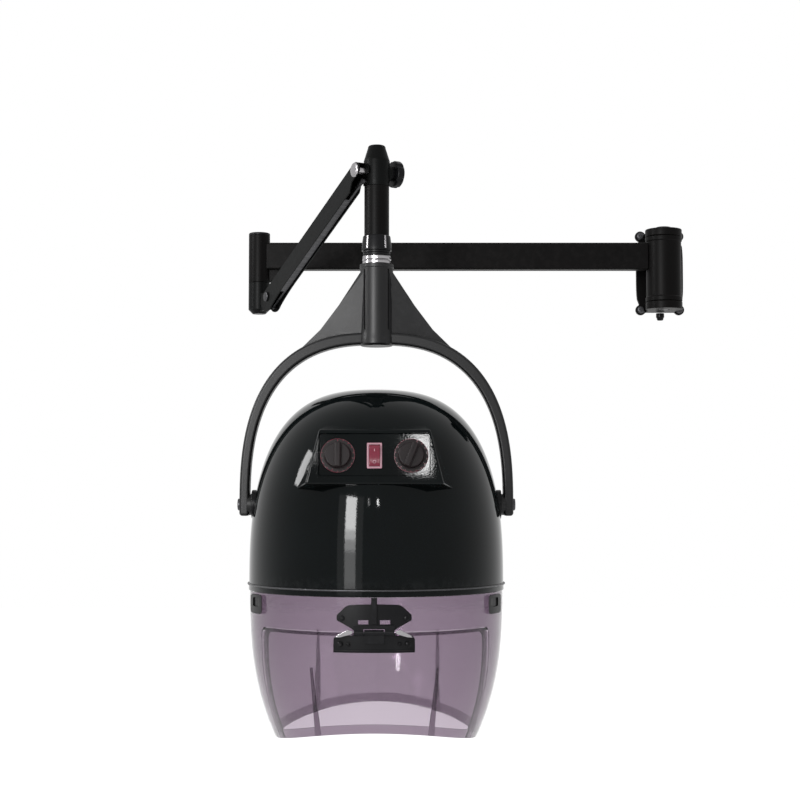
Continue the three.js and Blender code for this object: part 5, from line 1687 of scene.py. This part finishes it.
class DRYER_OT_lift_arm(bpy.types.Operator):
    """Model the rising arm and its levelling link"""

    bl_idname = "dryer.lift_arm"
    bl_label = "Rising arm"

    def execute(self, context):
        return run(context, lift_arm, levelling_link)


class DRYER_OT_head(bpy.types.Operator):
    """Model the head casting, its bolt, the drop tube, its sleeve and the washer"""

    bl_idname = "dryer.head"
    bl_label = "Head and drop tube"

    def execute(self, context):
        run(context, head_casting, drop_tube, drop_sleeve, swivel_washer)
        bolt_end = max((HEAD.inverted() @ v.co).y for v in frame["nodes"]["head_pivot_bolt"].data.vertices)
        bolt = ("head_pivot_bolt", "head", "bright_steel", HEAD)
        pivot_pin(*bolt, 0.005, 0.011, 0.003, -0.0125, bolt_end)
        return {"FINISHED"}


class DRYER_OT_clamp_knob(bpy.types.Operator):
    """Model the clamp knob on the head's bolt"""

    bl_idname = "dryer.clamp_knob"
    bl_label = "Clamp knob"

    def execute(self, context):
        return run(context, clamp_knob)


class DRYER_OT_yoke(bpy.types.Operator):
    """Model the yoke, its collar and its tilt screws"""

    bl_idname = "dryer.yoke"
    bl_label = "Yoke"

    def execute(self, context):
        return run(context, yoke_piece, swivel_collar, tilt_screws)


class DRYER_OT_hood(bpy.types.Operator):
    """Model the hood's shell, rim, inner dome and tilt pads"""

    bl_idname = "dryer.hood"
    bl_label = "Hood"

    def execute(self, context):
        return run(context, hood_shell, rim_ring, diffuser_dome, tilt_pads)


class DRYER_OT_console(bpy.types.Operator):
    """Model the control console with its dials and its switch"""

    bl_idname = "dryer.console"
    bl_label = "Console"

    def execute(self, context):
        return run(context, control_console, dials, power_switch)


class DRYER_OT_visor(bpy.types.Operator):
    """Model the smoked visor, its flap and its clips"""

    bl_idname = "dryer.visor"
    bl_label = "Visor"

    def execute(self, context):
        return run(context, visor_skirt, visor_flap, visor_clips)


class DRYER_OT_hinge(bpy.types.Operator):
    """Model the flap's hinge"""

    bl_idname = "dryer.hinge"
    bl_label = "Flap hinge"

    def execute(self, context):
        return run(context, hinge_bracket, hinge_leaf, hinge_pin, hinge_springs)


class DRYER_OT_inner_parts(bpy.types.Operator):
    """Give the frame's own inner parts their finishes"""

    bl_idname = "dryer.inner_parts"
    bl_label = "Inner parts"

    def execute(self, context):
        slots = {part["node"]: part["material_slot"] for part in frame["record"]["subparts"]}
        for name, node in frame["nodes"].items():
            if node.hide_render:
                continue
            for material_slot in node.material_slots:
                material_slot.material = finish(slots[name])
        return {"FINISHED"}


def area_lamp(name, place_at, target, width, height, power, shine=False):
    """A lamp that either lights surfaces evenly or only shows as a reflection in them."""
    light = bpy.data.lights.new(name, "AREA")
    light.shape = "RECTANGLE"
    light.size = width
    light.size_y = height
    light.energy = power
    lamp = bpy.data.objects.new(name, light)
    bpy.context.scene.collection.objects.link(lamp)
    lamp.location = place_at
    lamp.rotation_euler = (Vector(target) - Vector(place_at)).to_track_quat("-Z", "Y").to_euler()
    lamp.visible_camera = False
    lamp.visible_glossy = shine
    lamp.visible_diffuse = not shine
    return lamp


def seen_directly(tree):
    """A mask of the rays that show the background: from the camera, from gloss and through clear plastic."""
    path = tree.nodes.new("ShaderNodeLightPath")
    mask = calculate(tree, "MAXIMUM", path.outputs["Is Camera Ray"], path.outputs["Is Glossy Ray"])
    return calculate(tree, "MAXIMUM", mask, path.outputs["Is Transmission Ray"])


def white_world():
    world = bpy.data.worlds.new("studio")
    world.use_nodes = True
    tree = world.node_tree
    background = tree.nodes["Background"]
    background.inputs["Color"].default_value = (1, 1, 1, 1)
    fill = 0.42
    strength = remap(tree, seen_directly(tree), 0, 1, fill, 1)
    tree.links.new(strength, background.inputs["Strength"])
    bpy.context.scene.world = world


def pale_floor():
    deselect()
    below = -1.15
    bpy.ops.mesh.primitive_plane_add(size=16, location=(-0.4, 0, below))
    floor = bpy.context.object
    floor.name = "floor"
    bpy.ops.object.transform_apply(location=True, rotation=True, scale=True)
    material, tree, shader = new_material("floor")
    tree.nodes.remove(shader)
    diffuse = tree.nodes.new("ShaderNodeBsdfDiffuse")
    grain = add_group(tree, grain_group(), Scale=40, Wave_Scale=2)
    colour = sizes("dryer_colours").floor
    tint = blend_colour(tree, grain.outputs["Mottle"], scaled(colour, 0.985), colour)
    tree.links.new(tint, diffuse.inputs["Color"])
    glow = tree.nodes.new("ShaderNodeEmission")
    tree.links.new(remap(tree, seen_directly(tree), 0, 1, 0, 0.75), glow.inputs["Strength"])
    both = tree.nodes.new("ShaderNodeAddShader")
    tree.links.new(diffuse.outputs[0], both.inputs[0])
    tree.links.new(glow.outputs[0], both.inputs[1])
    tree.links.new(both.outputs[0], tree.nodes["Material Output"].inputs["Surface"])
    floor.data.materials.append(material)


class DRYER_OT_stage(bpy.types.Operator):
    """Set the floor, the lamps, the white surround and the camera"""

    bl_idname = "dryer.stage"
    bl_label = "Stage"

    def execute(self, context):
        scene = context.scene
        scene.view_settings.view_transform = "Standard"
        white_world()
        pale_floor()
        middle = (-0.48, -0.30, -0.35)
        area_lamp("key_softbox", (-2.4, -2.3, 1.1), middle, 1.4, 1.4, 46)
        shell = (-0.519, -0.55, -0.44)
        steps = ((0.38, -0.12, 66), (-0.12, -0.24, 40), (-0.24, -0.36, 22), (-0.36, -0.62, 10))
        for i, (high, low, glow) in enumerate(steps):
            power = glow * math.pi * 0.38 * (high - low)
            area_lamp("strip_%d" % i, (-1.33, -2.36, (high + low) / 2), shell, 0.38, high - low, power, shine=True)
        area_lamp("strip_halo", (-1.38, -2.45, -0.14), shell, 0.95, 1.15, 4.5, shine=True)
        area_lamp("right_softbox", (1.7, -1.6, 0.5), middle, 0.7, 1.4, 9)
        area_lamp("top_softbox", (-0.45, 0.1, 1.7), middle, 1.6, 1.0, 16)
        insert = (-0.42, -0.535, -0.33)
        area_lamp("window_reflection", (-0.39, -2.445, 0.275), insert, 0.055, 0.105, 2.0, shine=True)
        area_lamp("door_reflection", (-0.71, -2.43, 0.285), insert, 0.028, 0.10, 0.45, shine=True)
        area_lamp("flank_reflection", (-2.37, -0.58, 0.58), (-0.59, -0.50, -0.35), 0.28, 0.66, 20, shine=True)
        area_lamp("low_reflection", (0.018, -1.664, -1.05), (-0.45, -0.546, -0.618), 0.09, 0.16, 0.8, shine=True)
        camera = bpy.data.cameras.new("photo_camera")
        camera.lens = 71.6
        camera.sensor_width = 36
        camera.clip_end = 50
        eye = bpy.data.objects.new("photo_camera", camera)
        scene.collection.objects.link(eye)
        eye.location = (-0.450, -2.747, -0.383)
        eye.rotation_euler = (math.radians(93.4), 0, 0)
        scene.camera = eye
        return {"FINISHED"}


LIFT_LEVEL = axes_at(LOWER_PIVOT, LEVEL_AXIS, PIN_AXIS)

PIECE_OPERATORS = (
    DRYER_OT_wall_bracket,
    DRYER_OT_main_arm,
    DRYER_OT_elbow,
    DRYER_OT_lift_arm,
    DRYER_OT_head,
    DRYER_OT_clamp_knob,
    DRYER_OT_yoke,
    DRYER_OT_hood,
    DRYER_OT_console,
    DRYER_OT_visor,
    DRYER_OT_hinge,
    DRYER_OT_inner_parts,
    DRYER_OT_stage,
)

SIZE_GROUPS = {
    "dryer_arm": DryerArmSizes,
    "dryer_yoke": DryerYokeSizes,
    "dryer_hood": DryerHoodSizes,
    "dryer_visor": DryerVisorSizes,
    "dryer_colours": DryerColours,
}


class DRYER_PT_panel(bpy.types.Panel):
    """Lists the dryer's pieces and sizes"""

    bl_idname = "DRYER_PT_panel"
    bl_label = "Hood hair dryer"
    bl_space_type = "VIEW_3D"
    bl_region_type = "UI"
    bl_category = "Hair dryer"

    def draw(self, context):
        for operator in PIECE_OPERATORS:
            self.layout.operator(operator.bl_idname)
        for group in SIZE_GROUPS:
            column = self.layout.column()
            for name in getattr(context.scene, group).bl_rna.properties.keys():
                if name not in ("rna_type", "name"):
                    column.prop(getattr(context.scene, group), name)


def register():
    for group, kind in SIZE_GROUPS.items():
        bpy.utils.register_class(kind)
        setattr(bpy.types.Scene, group, PointerProperty(type=kind))
    for operator in PIECE_OPERATORS:
        bpy.utils.register_class(operator)
    bpy.utils.register_class(DRYER_PT_panel)


def unregister():
    bpy.utils.unregister_class(DRYER_PT_panel)
    for operator in reversed(PIECE_OPERATORS):
        bpy.utils.unregister_class(operator)
    for group, kind in SIZE_GROUPS.items():
        delattr(bpy.types.Scene, group)
        bpy.utils.unregister_class(kind)


def main():
    register()
    for operator in PIECE_OPERATORS:
        group, name = operator.bl_idname.split(".")
        getattr(getattr(bpy.ops, group), name)()
    deselect()


if __name__ == "__main__":
    main()
